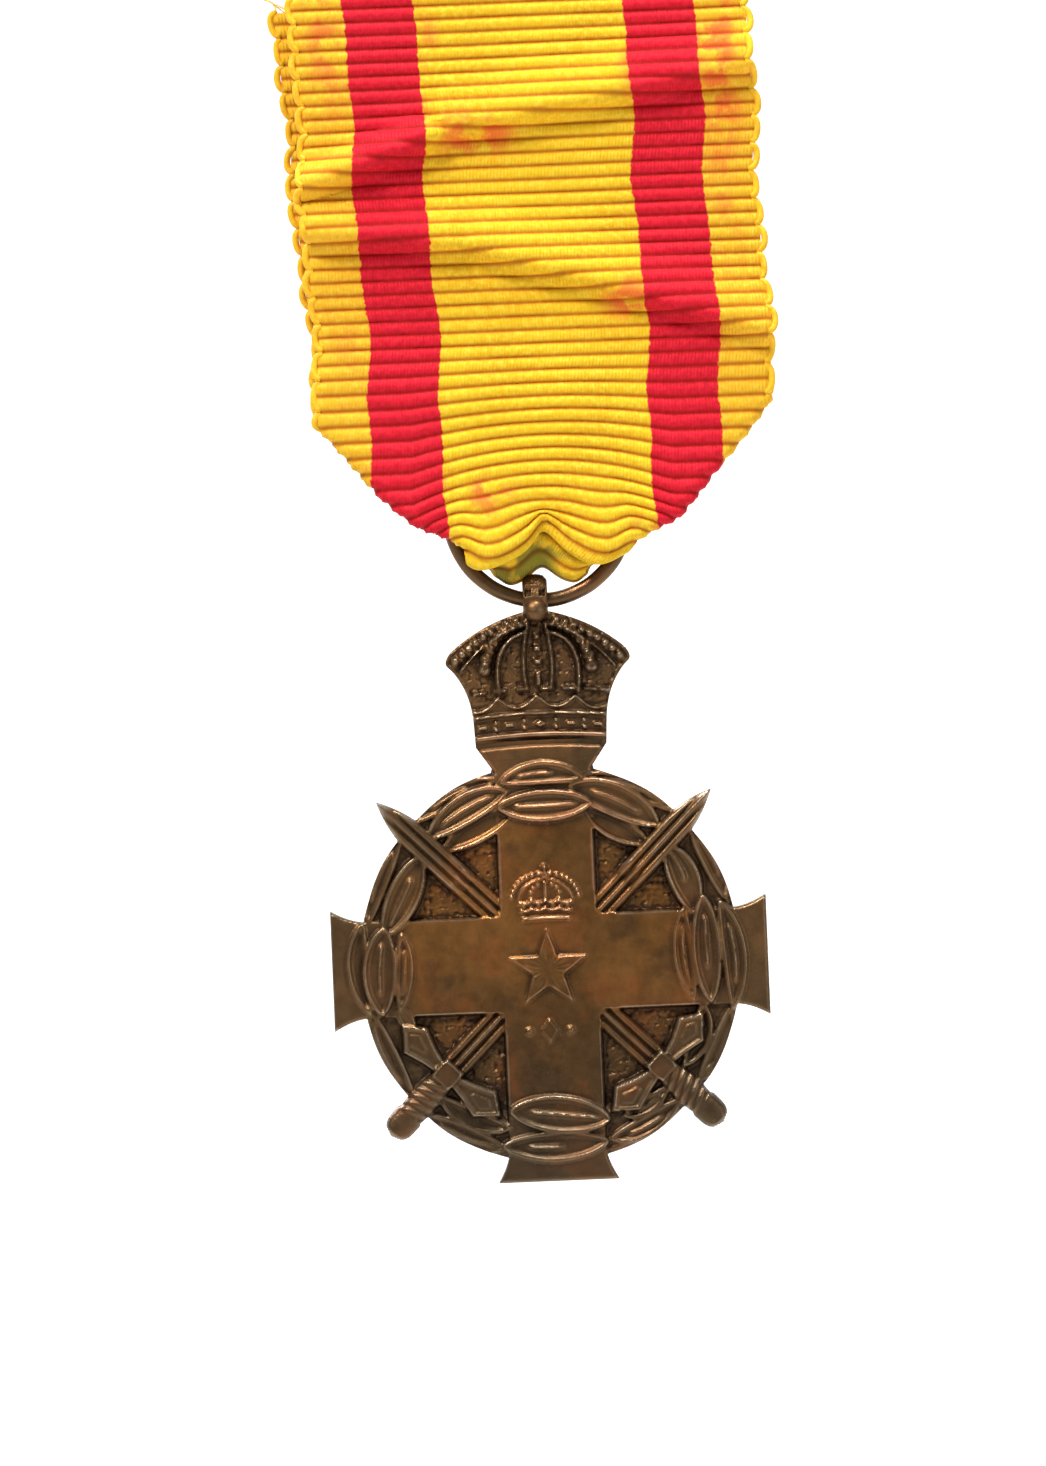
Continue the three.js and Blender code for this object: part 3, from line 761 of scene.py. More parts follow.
def reverse_heights(X, Z, whole):
    """A raised rim round the outline and a plain ring on a slightly uneven ground."""
    D = whole(X, Z)
    H = 0.03 * grain(X.shape, 9, 1) + 0.012 * grain(X.shape, 2, 1)
    H += 0.28 * smooth_step(-0.95, -0.7, D)
    r = np.hypot(X, Z)
    raise_shape(H, np.abs(r - 11.4) - 0.3, 0.16, 0.2)
    raise_shape(H, np.abs(r - 12.4) - 0.12, 0.12, 0.12)
    return H


def crown_relief(X, Z):
    """The crown's relief running out into the plain neck below it."""
    H = crown_heights(X, Z)
    H = np.maximum(H, 0.52 * smooth_step(19.3, 18.9, Z))
    neck = smooth_step(18.25, 18.1, Z - band_arch(X))
    return H * (1 - neck) + ARM_LEVEL * neck


# ---- Camera, lights and stage ----


def make_camera():
    """Straight at the obverse from far off, turned slightly in its own plane."""
    data = bpy.data.cameras.new("camera")
    camera = bpy.data.objects.new("camera", data)
    bpy.context.scene.collection.objects.link(camera)
    bpy.context.scene.camera = camera
    distance, view_height, sensor = 620.0, 124.6, 36
    data.sensor_fit = "VERTICAL"
    data.sensor_height = sensor
    data.lens = sensor * distance / view_height
    data.clip_start = 0.01
    data.clip_end = 100
    camera.location = np.array([-1.5, HANG_Y - distance, MEDAL_Z + 19.6]) * MM
    camera.rotation_euler = (math.radians(90), math.radians(2.4), 0)


def area_light(name, place_m, aim_m, size, power, colour):
    """A round soft light, in metres and watts."""
    data = bpy.data.lights.new(name, "AREA")
    data.shape = "DISK"
    data.size = size
    data.energy = power
    data.color = colour
    light = bpy.data.objects.new(name, data)
    light.location = place_m
    light.rotation_euler = (Vector(aim_m) - Vector(place_m)).to_track_quat("-Z", "Y").to_euler()
    bpy.context.scene.collection.objects.link(light)


def make_lights():
    """Soft studio light, warm from the upper left and cool from the right."""
    bpy.context.scene.view_settings.view_transform = "Standard"
    aim = (0, 0, -0.06)
    area_light("key", (-0.42, -0.5, 0.72), aim, 0.3, 10.5, (1, 0.97, 0.93))
    area_light("fill", (0.8, -0.7, 0.1), aim, 0.7, 2.5, (0.95, 0.97, 1))
    area_light("top", (0.1, -0.16, 0.75), aim, 0.22, 6, (0.94, 0.97, 1))
    area_light("rear", (-0.5, 0.8, 0.5), aim, 0.5, 6.5, (1, 1, 1))
    world = bpy.data.worlds.new("world")
    world.use_nodes = True
    background = world.node_tree.nodes["Background"]
    background.inputs["Color"].default_value = (0.9, 0.92, 0.95, 1)
    background.inputs["Strength"].default_value = 0.36
    bpy.context.scene.world = world


# ---- Tubes for threads and wires ----


def tube(points, radius, sides=6, twist=0.0, plies=0):
    """A closed tube along points. plies gives a laid thread its strands."""
    points = np.asarray(points, dtype=float)
    radius = np.broadcast_to(radius, len(points))
    tangent = np.gradient(points, axis=0)
    tangent /= np.linalg.norm(tangent, axis=1)[:, None]
    up = np.array([0, 1.0, 0]) if abs(tangent[:, 1]).max() < 0.9 else np.array([1.0, 0.2, 0])
    first = np.cross(tangent, up)
    first /= np.maximum(np.linalg.norm(first, axis=1), 1e-6)[:, None]
    second = np.cross(tangent, first)
    around = np.arange(sides) * 2 * math.pi / sides
    walk = np.concatenate([[0], np.cumsum(np.linalg.norm(np.diff(points, axis=0), axis=1))])
    lobes = 1 + (0.18 * np.cos(plies * around[None] + twist * walk[:, None]) if plies else 0)
    reach = radius[:, None] * lobes * np.ones(sides)
    ring = np.cos(around)[None, :, None] * first[:, None] + np.sin(around)[None, :, None] * second[:, None]
    verts = (points[:, None] + reach[:, :, None] * ring).reshape(-1, 3)
    faces = grid_faces(len(points), sides, close_columns=True)
    last = (len(points) - 1) * sides
    faces.append(tuple(range(sides))[::-1])
    faces.append(tuple(range(last, last + sides)))
    return verts, faces


def joined(parts):
    """Several (verts, faces) as one, and each part's vertex count."""
    verts, faces, counts, start = [], [], [], 0
    for v, f in parts:
        verts.append(v)
        faces.extend([tuple(i + start for i in face) for face in f])
        counts.append(len(v))
        start += len(v)
    return np.vstack(verts), faces, counts


def outward(piece):
    """Turns every face of a closed mesh outward."""
    work = bmesh.new()
    work.from_mesh(piece.data)
    bmesh.ops.recalc_face_normals(work, faces=work.faces)
    work.to_mesh(piece.data)
    work.free()
    return piece


# ---- Suspension ring and finial ----

RING_ASIDE = 0.6            # the ring hangs a little to one side of the finial
EYE_Z = 30.8
EYE_HOLE = 0.95
EYE_HALF = 1.05


def make_ring():
    """A slightly uneven round wire bent to a closed ring."""
    turns, sides = 200, 28
    around = np.linspace(0, 2 * math.pi, turns, endpoint=False)
    section = np.arange(sides) * 2 * math.pi / sides
    A, B = np.meshgrid(around, section, indexing="ij")
    uneven = 0.012 * np.sin(7 * A + 2 * B) + 0.01 * np.sin(17 * A - B)
    wire = RING_WIRE * (1 + uneven)
    reach = RING_RADIUS + wire * np.cos(B)
    x = RING_ASIDE + reach * np.cos(A)
    verts = np.stack([x, HANG_Y + wire * np.sin(B), RING_Z + reach * np.sin(A)], axis=-1)
    faces = grid_faces(turns, sides, close_rows=True, close_columns=True)
    return outward(new_mesh("ring_wire", verts.reshape(-1, 3), faces))


def make_finial():
    """A pierced block with recesses in its face and a rough dome, over a small ball."""
    turns, across, bore_across = 180, 44, 12
    angle = np.arange(turns) * 2 * math.pi / turns
    outer_x = np.linspace(-EYE_HALF, EYE_HALF, across)
    inner_x = np.linspace(EYE_HALF, -EYE_HALF, bore_across)
    A, X = np.meshgrid(angle, np.concatenate([outer_x, inner_x]), indexing="ij")
    outer = np.arange(across + bore_across) < across
    up = np.clip(np.sin(A), 0, 1)
    front = np.clip(-np.cos(A), 0, 1)
    reach = 1.6 + 0.62 * up**3 + 0.12 * front**4
    reach -= 0.28 * (np.abs(X) / EYE_HALF) ** 6 + 0.3 * up**2 * (X / EYE_HALF) ** 2
    height = EYE_Z + reach * np.sin(A)
    recess = (np.abs(np.abs(X) - 0.6) < 0.27) & (np.abs(height - 31.55) < 0.36) & (np.cos(A) < 0)
    bar = (np.abs(height - 32.05) < 0.13) & (np.cos(A) < 0)
    reach = reach - 0.42 * recess + 0.12 * bar + 0.05 * rng.standard_normal(A.shape) * up * outer
    bore = EYE_HOLE + 0.22 * (np.abs(X) / EYE_HALF) ** 6
    reach = np.where(outer[None], reach, bore)
    verts = np.stack([X, HANG_Y + reach * np.cos(A), MEDAL_Z + EYE_Z + reach * np.sin(A)], axis=-1)
    faces = grid_faces(turns, across + bore_across, close_rows=True, close_columns=True)
    block = (verts.reshape(-1, 3), faces)
    ball = orb((0, HANG_Y - 1.3, MEDAL_Z + 29.95), 1.05)
    piece = outward(new_mesh("medal_finial", *joined([block, ball])[:2]))
    flat_attributes(piece, edge=0.35)
    cavity = np.where(recess, -0.9, 0.2 + 0.5 * bar).ravel()
    paint(piece, "cavity", np.append(cavity, np.full(len(ball[0]), 0.3)))
    return piece


def orb(centre, radius):
    """A slightly flattened ball whose poles point up and down."""
    rows, columns = 22, 36
    tilt = np.linspace(0.02, math.pi - 0.02, rows)
    turn = np.arange(columns) * 2 * math.pi / columns
    T, U = np.meshgrid(tilt, turn, indexing="ij")
    band = 1 + 0.05 * np.exp(-(((T - 1.75) / 0.16) ** 2))
    x = radius * band * np.sin(T) * np.cos(U)
    y = radius * band * np.sin(T) * np.sin(U)
    z = radius * 0.97 * np.cos(T)
    verts = np.stack([x, y, z], axis=-1).reshape(-1, 3) + np.array(centre)
    faces = grid_faces(rows, columns, close_columns=True)
    faces.append(tuple(range(columns)))
    faces.append(tuple(range((rows - 1) * columns, rows * columns))[::-1])
    return verts, faces


def flat_attributes(piece, **values):
    """Stores numbers that are the same at every vertex."""
    for name, value in values.items():
        paint(piece, name, np.full(len(piece.data.vertices), value))


# ---- Ribbon ----

HALF_WIDTH = 19.2
RIB = 1.16                  # from rib to rib
ROW = RIB / 6               # from one row of mesh points to the next
FOLD_SUM = (60.6, 59.9)     # the 45 degree fold lines, left and right: how far out plus how far down
FOLD_ROUND = 0.42
NECK_LEFT, NECK_RIGHT = 7.8, 7.1
RIBBON_ASIDE = RING_ASIDE + 0.1

# The ribbon's side view, in Y and Z, from the hem behind the bar to the cut end at the back.
SIDE_VIEW = [
    (0.65, 3.0), (0.65, 4.2), (0.35, 4.95), (-0.45, 5.25), (-1.2, 4.95), (-1.5, 4.1), (-1.5, 0),
    (-1.5, -12), (-1.5, -24), (-1.6, -34), (-1.95, -42), (-2.25, -48), (-2.4, -51.4), (-2.4, -52.9),
    (-2.05, -53.5), (-1.65, -53.1), (-1.45, -52.7), (-1.3, -52.9), (-1.2, -54.0), (-0.35, -55.0),
    (0.55, -54.65), (1.05, -53.5), (1.65, -51.4), (1.7, -46), (1.5, -38), (1.15, -28), (1.1, -16),
    (1.1, -6.2),
]


# Points of SIDE_VIEW, counted from 0.
FACE_TOP = 5                # the front face begins
FACE_FOOT = 13              # its straight run down ends
LOWER_EDGE = 14             # its lowest point
TUCK_TOP = 16               # the top of the tuck behind it
LOOP_FOOT = 19              # the ribbon's lowest point, inside the ring
REAR_FOOT = 22              # the rear face begins
PER_SPAN = 40               # curve points from one point to the next


def smooth_curve(points):
    """A Catmull-Rom curve through the points."""
    p = np.array(points, dtype=float)
    p = np.vstack([2 * p[0] - p[1], p, 2 * p[-1] - p[-2]])
    t = np.linspace(0, 1, PER_SPAN, endpoint=False)[:, None]
    out = []
    for i in range(1, len(p) - 2):
        a, b, c, d = p[i - 1], p[i], p[i + 1], p[i + 2]
        m1, m2 = (c - a) / 2, (d - b) / 2
        limit = np.linalg.norm(c - b)
        m1 = m1 * min(1, limit / max(np.linalg.norm(m1), 1e-6))
        m2 = m2 * min(1, limit / max(np.linalg.norm(m2), 1e-6))
        h1, h2 = 2 * t**3 - 3 * t**2 + 1, t**3 - 2 * t**2 + t
        out.append(h1 * b + h2 * m1 + (-2 * t**3 + 3 * t**2) * c + (t**3 - t**2) * m2)
    return np.vstack(out + [p[-2:-1]])


SIDE = smooth_curve(SIDE_VIEW)
SIDE_RUN = np.concatenate([[0], np.cumsum(np.linalg.norm(np.diff(SIDE, axis=0), axis=1))])


def on_a_row(run):
    """The run moved to the nearest row of mesh points."""
    return round(float(run) / ROW) * ROW


def run_at(stop):
    """How far along the ribbon one of the side view's points lies."""
    return SIDE_RUN[stop * PER_SPAN]


FRONT_TOP = run_at(FACE_TOP)
FRONT_END = run_at(LOWER_EDGE)
TUCK = run_at(TUCK_TOP)
TURN = run_at(LOOP_FOOT)
REAR_START = run_at(REAR_FOOT)
RIBBON_LENGTH = SIDE_RUN[-1]
DOWN = slice(FACE_FOOT * PER_SPAN)
UP = slice(REAR_FOOT * PER_SPAN, None)
FRONT_NECK_Z, REAR_NECK_Z = -52.75, -51.0
NECK_FRONT = on_a_row(np.interp(-FRONT_NECK_Z, -SIDE[DOWN, 1], SIDE_RUN[DOWN]))
NECK_REAR = on_a_row(np.interp(REAR_NECK_Z, SIDE[UP, 1], SIDE_RUN[UP]))

# Creases of the front panel: left end, right end, height, reach above and reach below.
CREASES = [
    ((-19.5, -25.0), (-6.0, -26.6), 1.9, 2.6, 0.85),
    ((-6.0, -26.6), (20.0, -35.4), 1.8, 3.2, 0.85),
    ((-19.5, -21.6), (-7.6, -17.0), 2.0, 1.5, 1.1),
    ((-7.6, -17.0), (21.0, -11.9), 1.7, 2.8, 0.9),
    ((-19.0, -38.0), (3.0, -41.0), 0.25, 3.0, 2.0),
]


def crease_lift(x, z):
    """How far the creases push the front panel forward."""
    lift = np.zeros(x.shape)
    for (ax, az), (bx, bz), height, above, below in CREASES:
        length = math.hypot(bx - ax, bz - az)
        ux, uz = (bx - ax) / length, (bz - az) / length
        t = (x - ax) * ux + (z - az) * uz
        d = -(x - ax) * uz + (z - az) * ux
        body = hump(d, np.where(d > 0, above, below))
        ends = smooth_step(-3.0, 1.5, t) * (1 - smooth_step(length - 1.5, length + 3.0, t))
        lift = np.maximum(lift, height * body * ends)
    return lift


def fold_back(x, z, depth_sign):
    """Folds what lies past the 45 degree line behind the panel, round a small radius."""
    side = np.where(x < 0, -1.0, 1.0)
    ax = np.abs(x)
    d = (ax - z - np.where(x < 0, *FOLD_SUM)) / math.sqrt(2)
    a = d + math.pi * FOLD_ROUND / 2
    phi = np.clip(a / FOLD_ROUND, 0, math.pi)
    flat = np.minimum(d, -math.pi * FOLD_ROUND / 2)
    past = np.maximum(a - math.pi * FOLD_ROUND, 0)
    o = flat + FOLD_ROUND * np.sin(phi) - past
    depth = FOLD_ROUND * (1 - np.cos(phi))
    shift = (o - d) / math.sqrt(2)
    return side * (ax + shift), z - shift, depth * depth_sign


def ribbon_point(s, x):
    """The middle of the ribbon's thickness at a run along it and a place across it."""
    y0 = np.interp(s, SIDE_RUN, SIDE[:, 0])
    z0 = np.interp(s, SIDE_RUN, SIDE[:, 1])
    front = s < NECK_FRONT + ROW / 2
    rear = s > NECK_REAR - ROW / 2
    fx, fz, depth = fold_back(x, z0, np.where(front, 1.0, -1.0))
    folded = front | rear
    px = np.where(folded, fx, x)
    pz = np.where(folded, fz, z0)
    py = y0 + np.where(folded, depth, 0)
    # narrow where the ribbon passes through the ring
    through = np.interp(s, [NECK_FRONT, TURN - 0.8, TURN + 0.4, NECK_REAR + 0.4], [0, 1, 1, 0])
    px = px * (1 - 0.5 * through)
    # the front panel's lower edge: two lobes beside a central pinch
    low = smooth_step(46, 53, -pz)
    first = low * (1 - smooth_step(TUCK, TURN, s))
    cx = px + 0.6
    lobes = 0.85 * hump(np.abs(cx) - 4.4, 2.0)
    notch = 1.7 * hump(cx, 1.4) * smooth_step(49.2, 52.6, -pz)
    first_shape = notch - lobes + 0.9 * smooth_step(5.2, 7.6, np.abs(cx))
    second = smooth_step(TUCK, TURN, s) * (1 - smooth_step(TURN, REAR_START, s))
    wide = smooth_step(2.6, 4.0, np.abs(px))
    second_shape = -0.5 + 1.5 * hump(px, 1.5) + 0.8 * wide
    arch = smooth_step(35, 51, -pz) * np.where(rear, 0, 1 - smooth_step(FRONT_END, TURN, s))
    pz = pz + first * first_shape + second * second_shape
    pz = pz - 0.022 * arch * (np.minimum(np.abs(px + 0.4), 11) ** 2 - 30)
    # the cloth's swell over the ring, its creases and its slight waviness
    before_tuck = 1 - smooth_step(FRONT_END - 1.0, FRONT_END + 0.3, s)
    pinch = hump(cx, 1.3) * smooth_step(48.5, 52.5, -pz) * before_tuck
    py = py + 0.75 * pinch - 0.5 * first * hump(np.abs(cx) - 4.2, 2.6) * (s < TUCK)
    front_panel = (s > FRONT_TOP) & front
    py = py - np.where(front_panel, crease_lift(px, pz) * smooth_step(2, -8, pz), 0)
    py = py - np.where(front_panel, 0.35 * smooth_step(-30, -40, pz) * np.cos(px / HALF_WIDTH * 1.5), 0)
    py = py + 0.12 * np.sin(px * 0.35 + pz * 0.21) * smooth_step(2, -8, pz) * folded
    # sideways drift of the cloth
    drift = np.interp(pz, [-56, -53, -41, -6, 3], [0.5, 1.5, 1.6, 0.6, 0])
    ease = np.where(rear, np.interp(pz, [-41, -6], [0, -1.6]), 0)
    wobble = 0.22 * np.sin(pz * 0.33) + 0.15 * np.sin(pz * 0.71 + 1)
    px = px + (drift + ease + wobble * smooth_step(0, -10, pz)) * (1 - through) + RIBBON_ASIDE * through
    return np.stack([px, py, pz], axis=-1)


def thickness(s, x):
    """Half the ribbon's thickness: round ribs, thin between them, thin at the selvedges."""
    rib = np.abs(np.sin(math.pi * s / RIB)) ** 0.9
    edge = np.sqrt(np.clip((HALF_WIDTH - np.abs(x)) / 0.35, 0.12, 1))
    return (0.09 + 0.25 * rib) * edge


def strip(first, last, left, right, columns):
    """A closed stretch of ribbon between two runs, with its rows on the ribs."""
    s = np.arange(round(first / ROW), round(last / ROW) + 1) * ROW
    inner = np.linspace(-left + 0.35, right - 0.35, columns)
    x = np.concatenate([[-left, -left + 0.12], inner, [right - 0.12, right]])
    S, X = np.meshgrid(s, x, indexing="ij")
    middle = ribbon_point(S, X)
    du = ribbon_point(S, X + NUDGE) - ribbon_point(S, X - NUDGE)
    ds = ribbon_point(S + NUDGE, X) - ribbon_point(S - NUDGE, X)
    normal = np.cross(du, ds)
    normal /= np.maximum(np.linalg.norm(normal, axis=-1), 1e-9)[..., None]
    uneven = 1 + 0.07 * np.sin(S * 2.1 + 3 * np.sin(X * 0.21)) * np.sin(X * 0.37 + S * 0.11)
    off = (thickness(S, X) * uneven)[..., None] * normal
    n = len(x)
    loop = np.concatenate([middle + off, (middle - off)[:, ::-1]], axis=1)
    faces = grid_faces(len(s), 2 * n, close_columns=True)
    for row, flip in ((0, False), (len(s) - 1, True)):
        base = row * 2 * n
        for i in range(n - 1):
            face = (base + i, base + i + 1, base + 2 * n - 2 - i, base + 2 * n - 1 - i)
            faces.append(face[::-1] if flip else face)
    across = np.concatenate([X, X[:, ::-1]], axis=1).ravel()
    run = np.concatenate([S, S], axis=1).ravel()
    return loop.reshape(-1, 3), faces, across, run


# Stains, each a place across, a run below the bar's top, a reach across and along, and a strength.
STAINS = [
    (-4.5, 25.5, 3.2, 1.8, 0.9), (-16.6, 12, 1.8, 12, 0.7), (16.4, 19, 1.8, 9, 0.9),
    (7.6, 40, 2.4, 1.8, 0.8), (-5.0, 56, 2.2, 1.6, 0.75), (-16.8, 44, 1.6, 6, 0.35),
    (-7.7, 18, 1.0, 3.5, 0.5), (16.6, 34, 1.5, 6, 0.35), (7.8, 60, 1.6, 2.0, 0.5), (10.0, 34, 3, 2, 0.3),
]


def stain_at(across, run):
    """How strongly the cloth is stained, from 0 to 1."""
    down = run - FRONT_TOP + 4
    amount = np.zeros(across.shape)
    for x, z, wide, tall, strength in STAINS:
        amount += strength * np.exp(-(((across - x) / wide) ** 2) - ((down - z) / tall) ** 2)
    return np.clip(amount, 0, 1)


def make_ribbon():
    """Front panel, loop through the ring and rear panel, as one piece."""
    parts, across, run = [], [], []
    panel = (HALF_WIDTH, HALF_WIDTH, 62)
    for stretch in (
        (0, NECK_FRONT, *panel),
        (NECK_FRONT, NECK_REAR, NECK_LEFT, NECK_RIGHT, 40),
        (NECK_REAR, RIBBON_LENGTH, *panel),
    ):
        verts, faces, a, r = strip(*stretch)
        parts.append((verts, faces))
        across.append(a)
        run.append(r)
    verts, faces, _ = joined(parts)
    across, run = np.concatenate(across), np.concatenate(run)
    piece = outward(new_mesh("ribbon_cloth", verts, faces, sharp_angle=70))
    paint(piece, "across", across)
    paint(piece, "run", run)
    paint(piece, "stain", stain_at(across, run))
    # The stretch tucked inside the ring, which the silk tints green and dark brown: partly stain, partly
    # painted shade.
    green = smooth_step(TUCK - 0.6, TUCK + 1, run) * (1 - smooth_step(REAR_START, REAR_START + 3, run))
    paint(piece, "green", green)
    return piece


def make_picots():
    """The thread loops that join pairs of ribs along both edges."""
    parts, across = [], []
    spans = ((FRONT_TOP - 3, NECK_FRONT - 1), (NECK_REAR + 1, RIBBON_LENGTH - 0.5))
    pitch, steps, sides = 2 * RIB, 12, 8
    bend = np.linspace(0, math.pi, steps)
    for side in (-1, 1):
        for first, last in spans:
            count = int((last - first) / pitch)
            start = math.ceil(first / pitch) * pitch
            for i in range(count):
                s = start + (i + 0.5) * pitch - 0.98 * np.cos(bend)
                edge = ribbon_point(s, np.full(s.shape, side * HALF_WIDTH))
                inside = ribbon_point(s, np.full(s.shape, side * (HALF_WIDTH - 0.1)))
                out = edge - inside
                out /= np.linalg.norm(out, axis=1)[:, None]
                reach = (0.62 + 0.1 * math.sin(i * 2.3 + side)) * np.sin(bend) ** 0.7 - 0.36
                points = edge + out * reach[:, None]
                points[:, 1] += 0.07 * np.sin(bend * 2 + i)
                parts.append(tube(points, 0.29, sides))
                across.append(np.full(steps * sides, side * HALF_WIDTH))
    verts, faces, _ = joined(parts)
    piece = outward(new_mesh("ribbon_picots", verts, faces))
    flat_attributes(piece, stain=0.06, green=0, run=0.58)
    paint(piece, "across", np.concatenate(across))
    return piece


def make_fray():
    """Loose warp threads at the rear panel's cut end."""
    parts = []
    threads, long_ones = 70, 22
    for i in range(threads):
        x = -HALF_WIDTH + 2 * HALF_WIDTH * (i + rng.uniform(-0.4, 0.4)) / (threads - 1)
        start = ribbon_point(np.array([RIBBON_LENGTH - 0.2]), np.array([x]))[0]
        corner = i < long_ones
        length = rng.uniform(1.5, 5.0) if corner else rng.uniform(0.5, 1.7)
        lean = rng.uniform(-1.1, -0.3) if corner else rng.uniform(-0.35, 0.35)
        curl = rng.uniform(-0.5, 0.5)
        t = np.linspace(0, 1, 9)
        points = start + np.stack([
            length * (lean * t + 0.35 * curl * np.sin(t * 4)),
            0.25 * np.sin(t * 3 + i) * t,
            length * (t * (0.75 if corner else 1) - 0.35 * t * t),
        ], axis=1)
        parts.append(tube(points, 0.07 * (1 - 0.4 * t), 5))
    verts, faces, _ = joined(parts)
    return outward(new_mesh("ribbon_fray", verts, faces))


def make_stitches(name, node):
    """A row of slanted hand stitches in twisted thread, over the place of a CAD thread."""
    low, high = place(node)
    y = (low[1] + high[1]) / 2
    parts = []
    count, depth = 11, 0.4
    pitch = (high[0] - low[0]) / count
    for i in range(count):
        left = low[0] + i * pitch
        t = np.linspace(0, 1, 22)
        up = t if i % 2 == 0 else 1 - t
        x = left + pitch * t
        z = low[2] + 0.25 + (high[2] - low[2] - 0.5) * up
        bow = y - depth * (0.22 - 0.5 * np.sin(math.pi * t))
        parts.append(tube(np.stack([x, bow, z], axis=1), 0.2, 12, twist=9, plies=3))
    verts, faces, _ = joined(parts)
    return outward(new_mesh(name, verts, faces))


# ---- Materials ----


class Nodes:
    """A short way to write a node tree: each call adds a node and returns its output."""

    def __init__(self, name):
        self.material = bpy.data.materials.new(name)
        self.material.use_nodes = True
        self.tree = self.material.node_tree
        self.shader = self.tree.nodes["Principled BSDF"]

    def add(self, kind, inputs=None, **settings):
        node = self.tree.nodes.new(kind)
        for key, value in settings.items():
            setattr(node, key, value)
        for key, value in (inputs or {}).items():
            self.feed(node.inputs[key], value)
        return node

    def feed(self, socket, value):
        if isinstance(value, bpy.types.NodeSocket):
            self.tree.links.new(value, socket)
        else:
            socket.default_value = value

    def attribute(self, name):
        return self.add("ShaderNodeAttribute", attribute_name=name).outputs["Fac"]

    def math(self, operation, a, b=0.0):
        node = self.add("ShaderNodeMath", operation=operation)
        self.feed(node.inputs[0], a)
        self.feed(node.inputs[1], b)
        return node.outputs[0]

    def times(self, a, b):
        return self.math("MULTIPLY", a, b)

    def plus(self, a, b):
        return self.math("ADD", a, b)

    def ramp(self, value, low, high, to_low=0.0, to_high=1.0):
        node = self.add("ShaderNodeMapRange", interpolation_type="SMOOTHSTEP")
        for i, v in enumerate((value, low, high, to_low, to_high)):
            self.feed(node.inputs[i], v)
        return node.outputs[0]

    def noise(self, scale, detail=4, rough=0.55, vector=None):
        node = self.add("ShaderNodeTexNoise", {"Scale": scale, "Detail": detail, "Roughness": rough})
        where = vector or self.add("ShaderNodeTexCoord").outputs["Object"]
        self.tree.links.new(where, node.inputs["Vector"])
        return node.outputs["Fac"]

    def mix(self, amount, a, b, blend="MIX"):
        node = self.add("ShaderNodeMix", data_type="RGBA", blend_type=blend)
        self.feed(node.inputs[0], amount)
        self.feed(node.inputs[6], a)
        self.feed(node.inputs[7], b)
        return node.outputs[2]

    def tint(self, colour, amount, share, towards):
        """The colour drawn towards another, by a share of the amount."""
        return self.mix(self.times(amount, share), colour, towards)

    def bump(self, height, strength, distance):
        node = self.add("ShaderNodeBump", {"Strength": strength, "Distance": distance})
        self.feed(node.inputs["Height"], height)
        self.tree.links.new(node.outputs[0], self.shader.inputs["Normal"])

    def set(self, **sockets):
        for name, value in sockets.items():
            self.feed(self.shader.inputs[name.replace("_", " ")], value)
        return self.material


